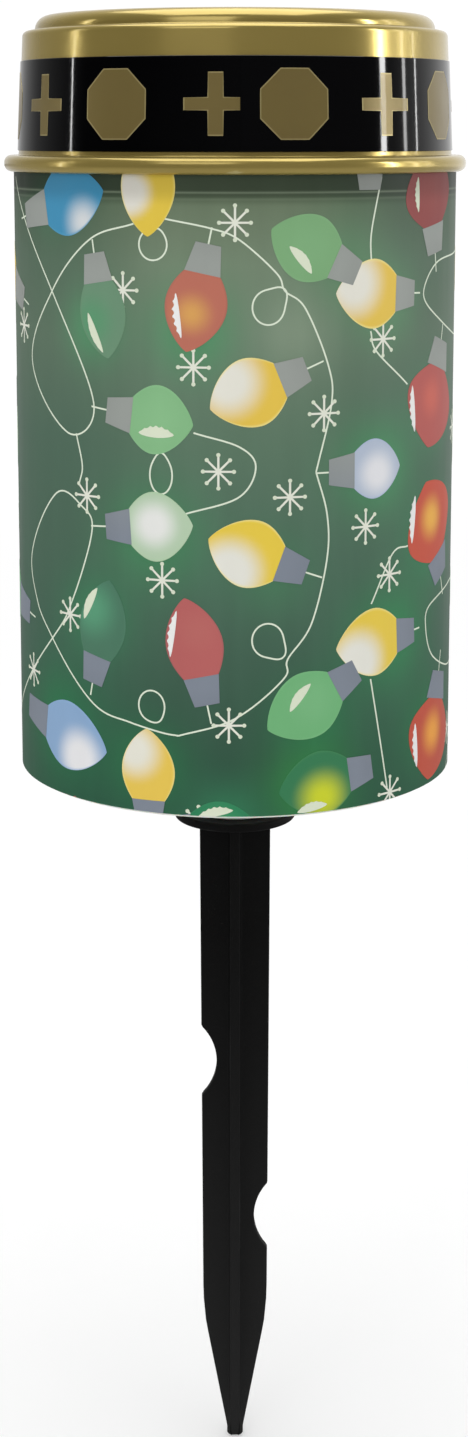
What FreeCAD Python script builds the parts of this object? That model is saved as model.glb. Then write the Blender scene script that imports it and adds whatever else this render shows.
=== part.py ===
import FreeCAD, Part
import os
from math import cos, pi, radians, sin, tan

# Solar lantern on a ground stake: a printed translucent cup, a gold lid that lifts off and
# carries the solar panel, battery and lamp, and a plastic stake that the cup plugs onto.
# Millimetres, +Z up, origin at the tip of the stake, -Y is the front of the lantern.

# ---------------------------------------------------------------- driving dimensions
STAKE_LENGTH = 127.1          # tip to the underside of the stake's flange
FLANGE_THICK = 1.6
FLANGE_R = 11.4
BLADE_HALF_TOP = 6.7          # half width of the blades under the flange
BLADE_HALF_SHOULDER = 6.2     # half width where the point begins
BLADE_THICK = 1.9
SHOULDER_Z = 27.0             # height where the point begins
POINT_HALF = 1.3              # half width of the blunt tip
NOTCH_R = 10.0
NOTCHES = [(-1, 78.2, 2.9), (1, 46.4, 2.6)]   # side, height, depth of each bite in the blade

PEG_R = 5.45                  # stake peg, a sliding fit in the cup's socket
PEG_LENGTH = 9.3
SOCKET_CLEARANCE = 0.05
SOCKET_R = 8.5                # outside of the socket under the cup
SOCKET_LENGTH = 9.8

CUP_R = 39.7                  # outside of the cup's wall
CUP_WALL = 1.5
CUP_FLOOR = 1.6
CUP_HEIGHT = 111.1
SLEEVE_THICK = 0.28
SLEEVE_GAP = 0.02

LIP_R = 41.7                  # the rolled bead round the foot of the lid
LIP_HEIGHT = 2.9
LIP_CLEARANCE = 0.25
LID_FOOT_R = 39.1             # outside of the lid's wall just above the bead
LID_TOP_R = 38.15             # outside of the lid's wall just under the step
LID_WALL = 1.6
STEP_R = 35.9                 # foot of the raised ring on top of the lid
STEP_ROUND = 2.6
LID_HEIGHT = 27.4             # underside of the bead to the top of the raised ring
STEP_HEIGHT = 24.65           # underside of the bead to the shelf round the raised ring
SKIRT_R = 37.9                # plug of the lid inside the cup
SKIRT_WALL = 1.5
SKIRT_DEPTH = 3.4
BAND_LOW, BAND_HIGH = 3.7, 19.4   # edges of the black band, above the underside of the bead
BAND_THICK = 0.2

DECK_R = 31.0                 # round recess in the top of the lid
DECK_DEPTH = 2.1
DECK_THICK = 1.4
PANEL_SIDE = 40.0
PANEL_BOARD_THICK = 0.8
CELL_THICK = 0.2
PANEL_THICK = 1.9
BEZEL_THICK = 1.3

COVER_R = 36.1                # plate that closes the lid from below
COVER_THICK = 1.6
COVER_ABOVE_SKIRT = 1.1       # how far the plate sits up inside the skirt
POST_R, POST_CIRCLE = 3.0, 31.0
POST_ANGLES = [90, 210, 330]
SCREW_R = 1.1
COVER_SCREW_LENGTH, COVER_SCREW_HEAD_R, COVER_SCREW_HEAD = 8.0, 2.2, 1.2
SCREW_SINK = 0.8              # depth of the plate's recess for a screw's head
BOARD_SCREW_R, BOARD_SCREW_LENGTH, BOARD_SCREW_HEAD = 0.85, 5.0, 1.0
BOARD_SCREW_X = 13.5
PILOT_CLEARANCE = 0.02

BATTERY_R, BATTERY_LENGTH = 5.25, 44.5      # AAA cell
BATTERY_Y = 16.0
PLATE_THICK = 0.4
PLATE_OUT = 0.42              # inner face of a contact plate, from the end of the battery box
BOX_LENGTH, BOX_WIDTH, BOX_WALL = 51.0, 11.3, 1.2
BOX_HEIGHT = 11.6
DOOR_LENGTH, DOOR_WIDTH, DOOR_THICK = 53.0, 14.0, 0.9
DOOR_CLEARANCE = 0.15

BOARD_X, BOARD_Y, BOARD_THICK = 34.0, 28.0, 1.6
BOARD_CENTRE_Y = -10.0
BOARD_STANDOFF = 5.2
SWITCH_Y = -18.0
SWITCH_TRAVEL = 2.0
SHOE_LENGTH, SHOE_WIDTH, LEVER_WIDTH = 2.6, 3.2, 1.8
LED_R, LED_FLANGE_R, LED_HEIGHT = 2.5, 2.9, 8.6
LED_LEADS_X = (-1.27, 1.27)
LENS_R, LENS_WALL, LENS_DROP = 7.0, 1.2, 8.0
WIRE_R = 0.6

# ---------------------------------------------------------------- heights worked out from them
FLANGE_TOP = STAKE_LENGTH + FLANGE_THICK
CUP_BASE = FLANGE_TOP + SOCKET_LENGTH
CUP_RIM = CUP_BASE + CUP_HEIGHT
LIP_LOW = CUP_RIM - 1.3                     # the lip hangs a little way down outside the rim
LID_TOP = LIP_LOW + LID_HEIGHT
SHELF_Z = LIP_LOW + STEP_HEIGHT
GASKET_THICK = 0.65
GROOVE_TOP = CUP_RIM + GASKET_THICK + 0.05
SKIRT_LOW = LIP_LOW - SKIRT_DEPTH
DECK_FLOOR = LID_TOP - DECK_DEPTH
DECK_UNDER = DECK_FLOOR - DECK_THICK
COVER_LOW = SKIRT_LOW + COVER_ABOVE_SKIRT
COVER_TOP = COVER_LOW + COVER_THICK
BATTERY_Z = COVER_TOP + BATTERY_R + 0.35
BOX_ROOF = COVER_TOP + BOX_HEIGHT
BOARD_LOW = COVER_TOP + BOARD_STANDOFF
BOARD_TOP = BOARD_LOW + BOARD_THICK

X, Y, Z = FreeCAD.Vector(1, 0, 0), FreeCAD.Vector(0, 1, 0), FreeCAD.Vector(0, 0, 1)
CENTRE = FreeCAD.Vector(0, 0, 0)


# ---------------------------------------------------------------- small builders
def at(x, y, z):
    return FreeCAD.Vector(x, y, z)


def line(a, b):
    return Part.LineSegment(a, b).toShape()


def arc(a, mid, b):
    return Part.Arc(a, mid, b).toShape()


def outline(steps):
    """A closed wire in the XZ plane. Each step is (x, z), or (mid x, mid z, x, z) for an arc."""
    points = [at(step[-2], 0, step[-1]) for step in steps]
    edges = []
    for before, after, step in zip(points[-1:] + points[:-1], points, steps):
        if len(step) == 4:
            edges.append(arc(before, at(step[0], 0, step[1]), after))
        else:
            edges.append(line(before, after))
    return Part.Wire(edges)


def turned(steps):
    """A solid of revolution about Z from an outline of (radius, height) steps."""
    return Part.Face(outline(steps)).revolve(CENTRE, Z, 360)


def ring(outer, inner, low, high):
    return turned([(inner, low), (outer, low), (outer, high), (inner, high)])


def rod(radius, low, high, x=0.0, y=0.0):
    return Part.makeCylinder(radius, high - low, at(x, y, low))


def block(x_size, y_size, low, high, x=0.0, y=0.0):
    """A box centred on x and y."""
    return Part.makeBox(x_size, y_size, high - low, at(x - x_size / 2, y - y_size / 2, low))


def round_block(x_size, y_size, low, high, x, y, corner):
    """A box with its upright edges rounded."""
    solid = block(x_size, y_size, low, high, x, y)
    upright = [e for e in solid.Edges if abs(e.tangentAt(e.FirstParameter).z) > 0.99]
    return solid.makeFillet(corner, upright)


def joined(shapes):
    """One solid from touching or overlapping ones."""
    first, *others = shapes
    return first.fuse(others).removeSplitter() if others else first


def around(angles, circle_radius):
    """The points on a circle about Z at these angles, in degrees."""
    return [(circle_radius * cos(radians(a)), circle_radius * sin(radians(a))) for a in angles]


# ---------------------------------------------------------------- ground stake
def blade_outline(notches):
    """Half the blade's side, mirrored: a long side with a little taper, a bend, and a blunt point."""
    bend = 5.0
    slope = (BLADE_HALF_SHOULDER - POINT_HALF) / SHOULDER_Z
    low_x = BLADE_HALF_SHOULDER - slope * bend
    mid_x = BLADE_HALF_SHOULDER - slope * bend / 4
    tip = 0.8
    side = [
        (BLADE_HALF_TOP, STAKE_LENGTH),
        (BLADE_HALF_SHOULDER + 0.05, SHOULDER_Z + bend),
        (mid_x + 0.02, SHOULDER_Z, low_x, SHOULDER_Z - bend),
        (POINT_HALF, tip),
        (POINT_HALF - 0.25, tip * 0.25, POINT_HALF - tip, 0.0),
    ]
    other = [
        (-(POINT_HALF - tip), 0.0),
        (-(POINT_HALF - 0.25), tip * 0.25, -POINT_HALF, tip),
        (-low_x, SHOULDER_Z - bend),
        (-mid_x - 0.02, SHOULDER_Z, -(BLADE_HALF_SHOULDER + 0.05), SHOULDER_Z + bend),
        (-BLADE_HALF_TOP, STAKE_LENGTH),
    ]
    face = Part.Face(outline(side + other))
    blade = face.extrude(Y * BLADE_THICK)
    blade.translate(Y * (-BLADE_THICK / 2))
    for side_sign, height, depth in notches:
        edge = BLADE_HALF_SHOULDER + (BLADE_HALF_TOP - BLADE_HALF_SHOULDER) * (
            (height - SHOULDER_Z) / (STAKE_LENGTH - SHOULDER_Z)
        )
        centre_x = side_sign * (edge + NOTCH_R - depth)
        bite = Part.makeCylinder(NOTCH_R, 4 * BLADE_THICK, at(centre_x, -2 * BLADE_THICK, height), Y)
        blade = blade.cut(bite)
    return blade


def ground_stake():
    """Two crossed blades under a round flange, with the peg that plugs into the cup's socket."""
    wide = blade_outline(NOTCHES)
    cross = blade_outline([])
    cross.rotate(CENTRE, Z, 90)
    edge = 0.35
    flange = turned([
        (0, STAKE_LENGTH),
        (FLANGE_R - edge, STAKE_LENGTH),
        (FLANGE_R - 0.1, STAKE_LENGTH + 0.1, FLANGE_R, STAKE_LENGTH + edge),
        (FLANGE_R, FLANGE_TOP - edge),
        (FLANGE_R - 0.1, FLANGE_TOP - 0.1, FLANGE_R - edge, FLANGE_TOP),
        (0, FLANGE_TOP),
    ])
    lead_in = 1.0
    peg = turned([
        (0, FLANGE_TOP),
        (PEG_R, FLANGE_TOP),
        (PEG_R, FLANGE_TOP + PEG_LENGTH - lead_in),
        (PEG_R - lead_in / 2, FLANGE_TOP + PEG_LENGTH),
        (0, FLANGE_TOP + PEG_LENGTH),
    ])
    hollow = rod(PEG_R - 1.8, FLANGE_TOP + 1.0, FLANGE_TOP + PEG_LENGTH)
    return joined([wide, cross, flange, peg]).cut(hollow)


# ---------------------------------------------------------------- cup
def lantern_cup():
    """Moulded translucent cup with a ribbed socket under its floor."""
    inside = CUP_R - CUP_WALL
    corner = 1.0
    bore_r = PEG_R + SOCKET_CLEARANCE
    body = turned([
        (0, CUP_BASE),
        (CUP_R - corner, CUP_BASE),
        (CUP_R - corner * 0.293, CUP_BASE + corner * 0.293, CUP_R, CUP_BASE + corner),
        (CUP_R, CUP_RIM - 0.3),
        (CUP_R - 0.3, CUP_RIM),
        (inside + 0.3, CUP_RIM),
        (inside, CUP_RIM - 0.6),
        (inside, CUP_BASE + CUP_FLOOR + corner),
        (inside - corner * 0.293, CUP_BASE + CUP_FLOOR + corner * 0.293,
         inside - corner, CUP_BASE + CUP_FLOOR),
        (0, CUP_BASE + CUP_FLOOR),
    ])
    socket = rod(SOCKET_R, FLANGE_TOP, CUP_BASE + 0.2)
    rib_reach, rib_thick, rib_root = 22.0, 1.4, 2.0
    ribs = []
    for turn in (45, 135, 225, 315):
        rib = Part.Face(outline([
            (SOCKET_R - 1.0, CUP_BASE + 0.2),
            (SOCKET_R - 1.0, FLANGE_TOP + rib_root),
            (SOCKET_R + 0.6, FLANGE_TOP + rib_root),
            (rib_reach, CUP_BASE - 0.6),
            (rib_reach, CUP_BASE + 0.2),
        ])).extrude(Y * rib_thick)
        rib.translate(Y * (-rib_thick / 2))
        rib.rotate(CENTRE, Z, turn)
        ribs.append(rib)
    bore = rod(bore_r, FLANGE_TOP - 1.0, CUP_BASE)
    return joined([body, socket] + ribs).cut(bore)


def printed_sleeve():
    """The printed film that wraps the cup from its foot to under the lid's lip."""
    inner = CUP_R + SLEEVE_GAP
    return ring(inner + SLEEVE_THICK, inner, CUP_BASE + 0.6, CUP_RIM - 0.35)


# ---------------------------------------------------------------- lid
def lid_shell():
    """Gold lid: bead, drafted wall, stepped ring, recess for the panel, skirt and screw posts."""
    skirt_in = SKIRT_R - SKIRT_WALL
    lip_in = CUP_R + SLEEVE_GAP + SLEEVE_THICK + LIP_CLEARANCE
    lip_top = LIP_LOW + LIP_HEIGHT
    corner = 1.0
    under_shelf = SHELF_Z - LID_WALL
    wall_in_foot = LID_FOOT_R - LID_WALL
    wall_in_top = LID_TOP_R - LID_WALL
    ring_in = STEP_R - LID_WALL
    shell = turned([
        (skirt_in, SKIRT_LOW),
        (SKIRT_R - 0.3, SKIRT_LOW),
        (SKIRT_R, SKIRT_LOW + 0.8),
        (SKIRT_R, GROOVE_TOP),
        (lip_in, GROOVE_TOP),
        (lip_in, LIP_LOW),
        (LIP_R - 1.2, LIP_LOW),
        (LIP_R, LIP_LOW + LIP_HEIGHT / 2, LIP_R - 1.2, lip_top),
        (LID_FOOT_R, lip_top),
        (LID_TOP_R, SHELF_Z - corner),
        (LID_TOP_R - corner * 0.293, SHELF_Z - corner * 0.293, LID_TOP_R - corner, SHELF_Z),
        (STEP_R, SHELF_Z + 0.05),
        (STEP_R, LID_TOP - STEP_ROUND),
        (STEP_R - STEP_ROUND * 0.293, LID_TOP - STEP_ROUND * 0.293,
         STEP_R - STEP_ROUND, LID_TOP),
        (DECK_R + 0.4, LID_TOP),
        (DECK_R, LID_TOP - 0.4),
        (DECK_R, DECK_FLOOR),
        (0, DECK_FLOOR),
        (0, DECK_UNDER),
        (ring_in - 2.0, DECK_UNDER),
        (ring_in, under_shelf),
        (wall_in_top, under_shelf),
        (wall_in_foot, lip_top + 0.6),
        (skirt_in, GROOVE_TOP - 0.2),
    ])
    posts = [rod(POST_R, COVER_TOP, DECK_UNDER + 0.3, x, y) for x, y in around(POST_ANGLES, POST_CIRCLE)]
    shell = joined([shell] + posts)
    pilots = [rod(SCREW_R + PILOT_CLEARANCE, COVER_TOP, COVER_TOP + 10.0, x, y)
              for x, y in around(POST_ANGLES, POST_CIRCLE)]
    wire_hole = rod(3.2, DECK_UNDER - 1.0, DECK_FLOOR + 1.0, 0.0, -9.0)
    return shell.cut(pilots + [wire_hole])


def wall_radius(height):
    """Outside radius of the lid's drafted wall at this height."""
    foot, top = LIP_LOW + LIP_HEIGHT, SHELF_Z - 1.0
    share = (height - foot) / (top - foot)
    return LID_FOOT_R + (LID_TOP_R - LID_FOOT_R) * share


def lid_band():
    """The black printed band round the lid's wall."""
    low, high = LIP_LOW + BAND_LOW, LIP_LOW + BAND_HIGH
    gap = 0.01
    return turned([
        (wall_radius(low) + gap, low),
        (wall_radius(low) + gap + BAND_THICK, low),
        (wall_radius(high) + gap + BAND_THICK, high),
        (wall_radius(high) + gap, high),
    ])


def lid_gasket():
    """Flat silicone ring in the lid's groove, over the cup's rim."""
    return ring(CUP_R + 0.2, SKIRT_R + 0.1, GROOVE_TOP - GASKET_THICK, GROOVE_TOP)


# ---------------------------------------------------------------- solar panel
def panel_bezel():
    """Black frame that fills the round recess round the square panel."""
    frame = turned([
        (0, DECK_FLOOR),
        (DECK_R - 0.2, DECK_FLOOR),
        (DECK_R - 0.2, DECK_FLOOR + BEZEL_THICK - 0.3),
        (DECK_R - 0.5, DECK_FLOOR + BEZEL_THICK),
        (0, DECK_FLOOR + BEZEL_THICK),
    ])
    window = block(PANEL_SIDE + 0.4, PANEL_SIDE + 0.4, DECK_FLOOR - 1, DECK_FLOOR + BEZEL_THICK + 1)
    return frame.cut(window)


def panel_board():
    return block(PANEL_SIDE, PANEL_SIDE, DECK_FLOOR, DECK_FLOOR + PANEL_BOARD_THICK)


CELL_COUNT, CELL_GAP, CELL_LENGTH = 4, 0.8, 36.0
CELL_WIDTH = (CELL_LENGTH - (CELL_COUNT - 1) * CELL_GAP) / CELL_COUNT


def solar_cells():
    """Four silicon strips side by side on the board."""
    low = DECK_FLOOR + PANEL_BOARD_THICK
    first = -CELL_LENGTH / 2 + CELL_WIDTH / 2
    strips = [
        block(CELL_WIDTH, CELL_LENGTH, low, low + CELL_THICK, first + i * (CELL_WIDTH + CELL_GAP))
        for i in range(CELL_COUNT)
    ]
    return Part.makeCompound(strips)


def panel_resin():
    """Clear resin poured over the cells, with a rounded top edge."""
    low = DECK_FLOOR + PANEL_BOARD_THICK
    resin = block(PANEL_SIDE, PANEL_SIDE, low, DECK_FLOOR + PANEL_THICK)
    top_edges = [e for e in resin.Edges if abs(e.CenterOfMass.z - (DECK_FLOOR + PANEL_THICK)) < 0.01]
    return resin.makeFillet(0.4, top_edges).cut(solar_cells())


# ---------------------------------------------------------------- electronics tray
def inner_cover():
    """Plate that closes the lid from below, with the battery box, board standoffs and openings."""
    plate = rod(COVER_R, COVER_LOW, COVER_TOP)
    box = block(BOX_LENGTH + 2 * BOX_WALL, BOX_WIDTH + 2 * BOX_WALL, COVER_LOW + 0.2,
                BOX_ROOF + BOX_WALL, 0, BATTERY_Y)
    standoffs = [rod(2.3, COVER_LOW + 0.2, BOARD_LOW, x, BOARD_CENTRE_Y)
                 for x in (-BOARD_SCREW_X, BOARD_SCREW_X)]
    cover = joined([plate, box] + standoffs)

    door_low_recess = round_block(DOOR_LENGTH + 2 * DOOR_CLEARANCE, DOOR_WIDTH + 2 * DOOR_CLEARANCE,
                                  COVER_LOW - 1, COVER_LOW + DOOR_THICK + 0.05, 0, BATTERY_Y, 1.5)
    cavity = block(BOX_LENGTH, BOX_WIDTH, COVER_TOP, BOX_ROOF, 0, BATTERY_Y)
    mouth = block(BOX_LENGTH - 1.0, BOX_WIDTH, COVER_LOW - 1, COVER_TOP + 0.1, 0, BATTERY_Y)
    tab_slots = [block(0.8, 3.4, BOX_ROOF - 1, BOX_ROOF + BOX_WALL + 1, side * (BOX_LENGTH / 2 - 0.4),
                       BATTERY_Y) for side in (-1, 1)]
    lens_hole = rod(LENS_R + 0.1, COVER_LOW - 1, COVER_TOP + 1)
    switch_slot = block(SWITCH_TRAVEL + 3.0, 2.6, COVER_LOW - 1, COVER_TOP + 1, 0, SWITCH_Y)
    screw_holes = []
    for x, y in around(POST_ANGLES, POST_CIRCLE):
        screw_holes.append(rod(SCREW_R + 0.2, COVER_LOW - 1, COVER_TOP + 1, x, y))
        screw_holes.append(rod(COVER_SCREW_HEAD_R + 0.2, COVER_LOW - 1, COVER_LOW + SCREW_SINK, x, y))
    pilots = [rod(0.9, BOARD_LOW - 4.5, BOARD_LOW + 1, x, BOARD_CENTRE_Y)
              for x in (-BOARD_SCREW_X, BOARD_SCREW_X)]
    finger_notch = rod(3.5, COVER_LOW - 1, COVER_LOW + DOOR_THICK, 0, BATTERY_Y - DOOR_WIDTH / 2)
    return cover.cut([door_low_recess, cavity, mouth, lens_hole, switch_slot, finger_notch]
                     + tab_slots + screw_holes + pilots)


def battery_door():
    """Snap-in door of the battery box, with a row of finger ribs."""
    door = round_block(DOOR_LENGTH, DOOR_WIDTH, COVER_LOW, COVER_LOW + DOOR_THICK, 0, BATTERY_Y, 1.4)
    ribs = [block(0.8, 7.0, COVER_LOW - 0.5, COVER_LOW + 0.1, x, BATTERY_Y) for x in (-3, -1, 1, 3)]
    return joined([door] + ribs)


def screw(shank_r, length, head_r, head_high):
    """A pan-head screw standing on its head at the origin, with a cross recess in the head."""
    point_length, point_r = 1.2, 0.3
    slot_thick, slot_deep = 0.45, head_high * 0.6
    top = head_high + length
    head = turned([
        (0, 0),
        (head_r * 0.7, 0),
        (head_r, head_high * 0.45),
        (head_r, head_high),
        (0, head_high),
    ])
    shank = turned([
        (0, head_high - 0.1),
        (shank_r, head_high - 0.1),
        (shank_r, top - point_length),
        (point_r, top),
        (0, top),
    ])
    recess = joined([
        block(head_r * 1.1, slot_thick, -1, slot_deep),
        block(slot_thick, head_r * 1.1, -1, slot_deep),
    ])
    return joined([head, shank]).cut(recess)


def cover_screws():
    """Three screws up through the plate into the lid's posts, their heads sunk in it."""
    made = []
    for x, y in around(POST_ANGLES, POST_CIRCLE):
        solid = screw(SCREW_R, COVER_SCREW_LENGTH, COVER_SCREW_HEAD_R, COVER_SCREW_HEAD)
        solid.translate(at(x, y, COVER_LOW + SCREW_SINK - COVER_SCREW_HEAD))
        made.append(solid)
    return Part.makeCompound(made)


def board_screws():
    """Two screws that hold the board down on its standoffs."""
    made = []
    for x in (-BOARD_SCREW_X, BOARD_SCREW_X):
        solid = screw(BOARD_SCREW_R, BOARD_SCREW_LENGTH, 2 * BOARD_SCREW_R, BOARD_SCREW_HEAD)
        solid.rotate(CENTRE, X, 180)
        solid.translate(at(x, BOARD_CENTRE_Y, BOARD_TOP + BOARD_SCREW_HEAD))
        made.append(solid)
    return Part.makeCompound(made)


# ---------------------------------------------------------------- circuit board and lamp
def circuit_board():
    board = round_block(BOARD_X, BOARD_Y, BOARD_LOW, BOARD_TOP, 0, BOARD_CENTRE_Y, 1.2)
    holes = [rod(1.0, BOARD_LOW - 1, BOARD_TOP + 1, x, BOARD_CENTRE_Y)
             for x in (-BOARD_SCREW_X, BOARD_SCREW_X)]
    lead_holes = [rod(0.4, BOARD_LOW - 1, BOARD_TOP + 1, x, 0) for x in (-1.27, 1.27)]
    return board.cut(holes + lead_holes)


def led_lamp():
    """A 5 mm lamp that hangs under the board, dome down, on two leads."""
    top = BOARD_LOW - 0.6
    low = top - LED_HEIGHT
    body = turned([
        (0, low),
        (LED_R * 0.707, low + LED_R * 0.293, LED_R, low + LED_R),
        (LED_R, top - 1.0),
        (LED_FLANGE_R, top - 1.0),
        (LED_FLANGE_R, top),
        (0, top),
    ])
    leads = [block(0.5, 0.5, top - 0.2, BOARD_TOP + 1.2, x) for x in LED_LEADS_X]
    return joined([body] + leads)


def led_lens():
    """Clear dome over the lamp, with a flange that sits on the cover plate."""
    inner = LENS_R - LENS_WALL
    centre = at(0, 0, COVER_LOW - LENS_DROP + LENS_R)
    flange_low, flange_top = COVER_TOP + 0.05, COVER_TOP + 1.0
    outside = joined([
        Part.makeSphere(LENS_R, centre, Z, -90, 0, 360),
        rod(LENS_R, centre.z, flange_top),
        rod(LENS_R + 1.4, flange_low, flange_top),
    ])
    inside = joined([Part.makeSphere(inner, centre, Z, -90, 0, 360), rod(inner, centre.z, flange_top + 1.0)])
    return outside.cut(inside)


def switch_body():
    """Slide switch under the board: a track for the shoe, and a narrower slot for the lever."""
    length, width, high = 8.6, 5.0, 4.7
    track_length = SHOE_LENGTH + SWITCH_TRAVEL + 0.8
    body = block(length, width, BOARD_LOW - high, BOARD_LOW, 0, SWITCH_Y)
    track = block(track_length, SHOE_WIDTH + 0.2, BOARD_LOW - 4.1, BOARD_LOW - 1.6, 0, SWITCH_Y)
    slot = block(SWITCH_TRAVEL + 3.0, LEVER_WIDTH + 0.3, BOARD_LOW - 5.0, BOARD_LOW - 4.0, 0, SWITCH_Y)
    return body.cut([track, slot])


def switch_slider():
    """The switch's shoe and lever at the on end, the lever reaching down through the cover's slot."""
    x = SWITCH_TRAVEL / 2
    shoe = block(SHOE_LENGTH, SHOE_WIDTH, BOARD_LOW - 4.0, BOARD_LOW - 1.8, x, SWITCH_Y)
    lever = round_block(1.6, LEVER_WIDTH, COVER_LOW - 1.4, BOARD_LOW - 3.9, x, SWITCH_Y, 0.3)
    return joined([shoe, lever])


def driver_chip():
    """Small four-legged driver that stands on top of the board."""
    x, y = 7.0, -9.0
    length, width, high = 4.2, 2.2, 3.4
    leg_side, leg_high, leg_places = 0.4, 1.2, (-1.5, -0.5, 0.5, 1.5)
    body = block(length, width, BOARD_TOP + leg_high, BOARD_TOP + leg_high + high, x, y)
    legs = [block(leg_side, leg_side, BOARD_TOP, BOARD_TOP + leg_high + 0.2, x + place, y)
            for place in leg_places]
    return joined([body] + legs)


def choke_coil():
    """Axial choke lying on the board, thick in the middle."""
    x, y, z = -4.5, -9.0, BOARD_TOP + 1.7
    waist, end_r, half = 1.3, 1.6, 3.6
    body = turned([(0, -half), (end_r - 0.5, -half), (end_r, 0.7 - half), (waist, 2.0 - half),
                   (waist, half - 2.0), (end_r, half - 0.7), (end_r - 0.5, half), (0, half)])
    body.rotate(CENTRE, X, 90)
    body.translate(at(x, y, z))
    lead_side, lead_out = 0.5, 5.2
    out = block(lead_side, 2 * lead_out, z - lead_side / 2, z + lead_side / 2, x, y)
    downs = [block(lead_side, lead_side, BOARD_TOP, z, x, y + side * (lead_out - lead_side / 2))
             for side in (-1, 1)]
    return joined([body, out] + downs)


# ---------------------------------------------------------------- battery
BATTERY_PLUS_X = -BOX_LENGTH / 2 + 0.5


def along_x(solid, x):
    """Lays a solid made about Z along the battery's axis, its low end at x."""
    solid.rotate(CENTRE, Y, 90)
    solid.translate(at(x, BATTERY_Y, BATTERY_Z))
    return solid


def battery_cell():
    nub = 1.0
    can_r = BATTERY_R - 0.25
    cell = turned([
        (0, 0), (1.9, 0), (1.9, nub), (can_r - 0.4, nub), (can_r, nub + 0.4),
        (can_r, BATTERY_LENGTH - 0.4), (can_r - 0.4, BATTERY_LENGTH), (0, BATTERY_LENGTH),
    ])
    return along_x(cell, BATTERY_PLUS_X)


def battery_jacket():
    jacket = ring(BATTERY_R, BATTERY_R - 0.24, 1.6, BATTERY_LENGTH - 0.6)
    return along_x(jacket, BATTERY_PLUS_X)


def contact_plate(side):
    """Sprung steel plate at one end of the box, with its tab up through the roof."""
    x = side * (BOX_LENGTH / 2 - PLATE_OUT + PLATE_THICK / 2)
    plate = block(PLATE_THICK, 8.0, COVER_TOP + 0.6, BOX_ROOF - 0.3, x, BATTERY_Y)
    tab = block(PLATE_THICK, 3.0, BOX_ROOF - 0.5, BOX_ROOF + BOX_WALL + 2.6, x, BATTERY_Y)
    return joined([plate, tab])


def battery_spring():
    """Coil spring between the flat end of the cell and its plate."""
    wire_r, turns, coil_r = 0.3, 4, 3.0
    start = BATTERY_PLUS_X + BATTERY_LENGTH + wire_r + 0.03
    end = BOX_LENGTH / 2 - PLATE_OUT - wire_r - 0.03
    height = end - start
    helix = Part.makeHelix(height / turns, height, coil_r)
    profile = Part.Wire(Part.Circle(at(coil_r, 0, 0), Y, wire_r).toShape())
    coil = Part.Wire(helix).makePipeShell([profile], True, True)
    return along_x(coil, start)


# ---------------------------------------------------------------- wires
def wire_route(points):
    """Straight runs joined by tangent arcs, each as large as 0.45 of its shorter run allows."""
    edges, radii, last = [], [], points[0]
    for before, corner, after in zip(points, points[1:], points[2:]):
        run_in, run_out = (corner - before), (after - corner)
        half_turn = run_in.getAngle(run_out) / 2
        cut = 0.45 * min(run_in.Length, run_out.Length)
        into, out = FreeCAD.Vector(run_in).normalize(), FreeCAD.Vector(run_out).normalize()
        begin, end = corner - into * cut, corner + out * cut
        towards = (out - into).normalize()
        radius = cut / tan(half_turn)
        radii.append(round(radius, 1))
        middle = corner + towards * (radius / cos(half_turn) - radius)
        edges += [line(last, begin), arc(begin, middle, end)]
        last = end
    edges.append(line(last, points[-1]))
    print("bend radii", radii)
    return Part.Wire(edges)


def wire(points):
    route = wire_route([at(*p) for p in points])
    start, direction = at(*points[0]), at(*points[1]) - at(*points[0])
    section = Part.Wire(Part.Circle(start, direction, WIRE_R).toShape())
    tube = route.makePipeShell([section], True, True)
    print("wire length", round(route.Length, 1), "volume ratio",
          round(tube.Volume / (pi * WIRE_R**2 * route.Length), 4))
    return tube


def panel_wire(side):
    """From the back of the panel, down through the deck, to the board's front edge."""
    return wire([
        (side * 1.5, -9.0, DECK_FLOOR),
        (side * 1.5, -9.0, DECK_UNDER - 4.0),
        (side * 5.0, -15.0, BOARD_TOP + 8.5),
        (side * 9.0, -20.0, BOARD_TOP + 6.0),
        (side * 9.0, -20.0, BOARD_TOP),
    ])


def battery_wire(side):
    """From a contact's tab over the battery box to the board's back edge."""
    tab_x = side * (BOX_LENGTH / 2 - PLATE_OUT - WIRE_R)
    high = BOX_ROOF + BOX_WALL + 1.7
    return wire([
        (tab_x, BATTERY_Y + 1.0, high),
        (tab_x, BATTERY_Y - 6.0, high),
        (side * 20.0, BATTERY_Y - 11.5, high - 0.5),
        (side * 14.0, BATTERY_Y - 14.0, BOARD_TOP + 5.5),
        (side * 14.0, BATTERY_Y - 14.0, BOARD_TOP),
    ])


# ---------------------------------------------------------------- build and write
PARTS = {
    "ground_stake": ground_stake,
    "lantern_cup": lantern_cup,
    "printed_sleeve": printed_sleeve,
    "lid_shell": lid_shell,
    "lid_band": lid_band,
    "lid_gasket": lid_gasket,
    "panel_bezel": panel_bezel,
    "panel_board": panel_board,
    "solar_cells": solar_cells,
    "panel_resin": panel_resin,
    "inner_cover": inner_cover,
    "battery_door": battery_door,
    "cover_screws": cover_screws,
    "board_screws": board_screws,
    "circuit_board": circuit_board,
    "led_lamp": led_lamp,
    "led_lens": led_lens,
    "switch_body": switch_body,
    "switch_slider": switch_slider,
    "driver_chip": driver_chip,
    "choke_coil": choke_coil,
    "battery_cell": battery_cell,
    "battery_jacket": battery_jacket,
    "plus_contact": lambda: contact_plate(-1),
    "minus_contact": lambda: contact_plate(1),
    "battery_spring": battery_spring,
    "panel_wire_red": lambda: panel_wire(1),
    "panel_wire_black": lambda: panel_wire(-1),
    "battery_wire_red": lambda: battery_wire(-1),
    "battery_wire_black": lambda: battery_wire(1),
}

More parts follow.
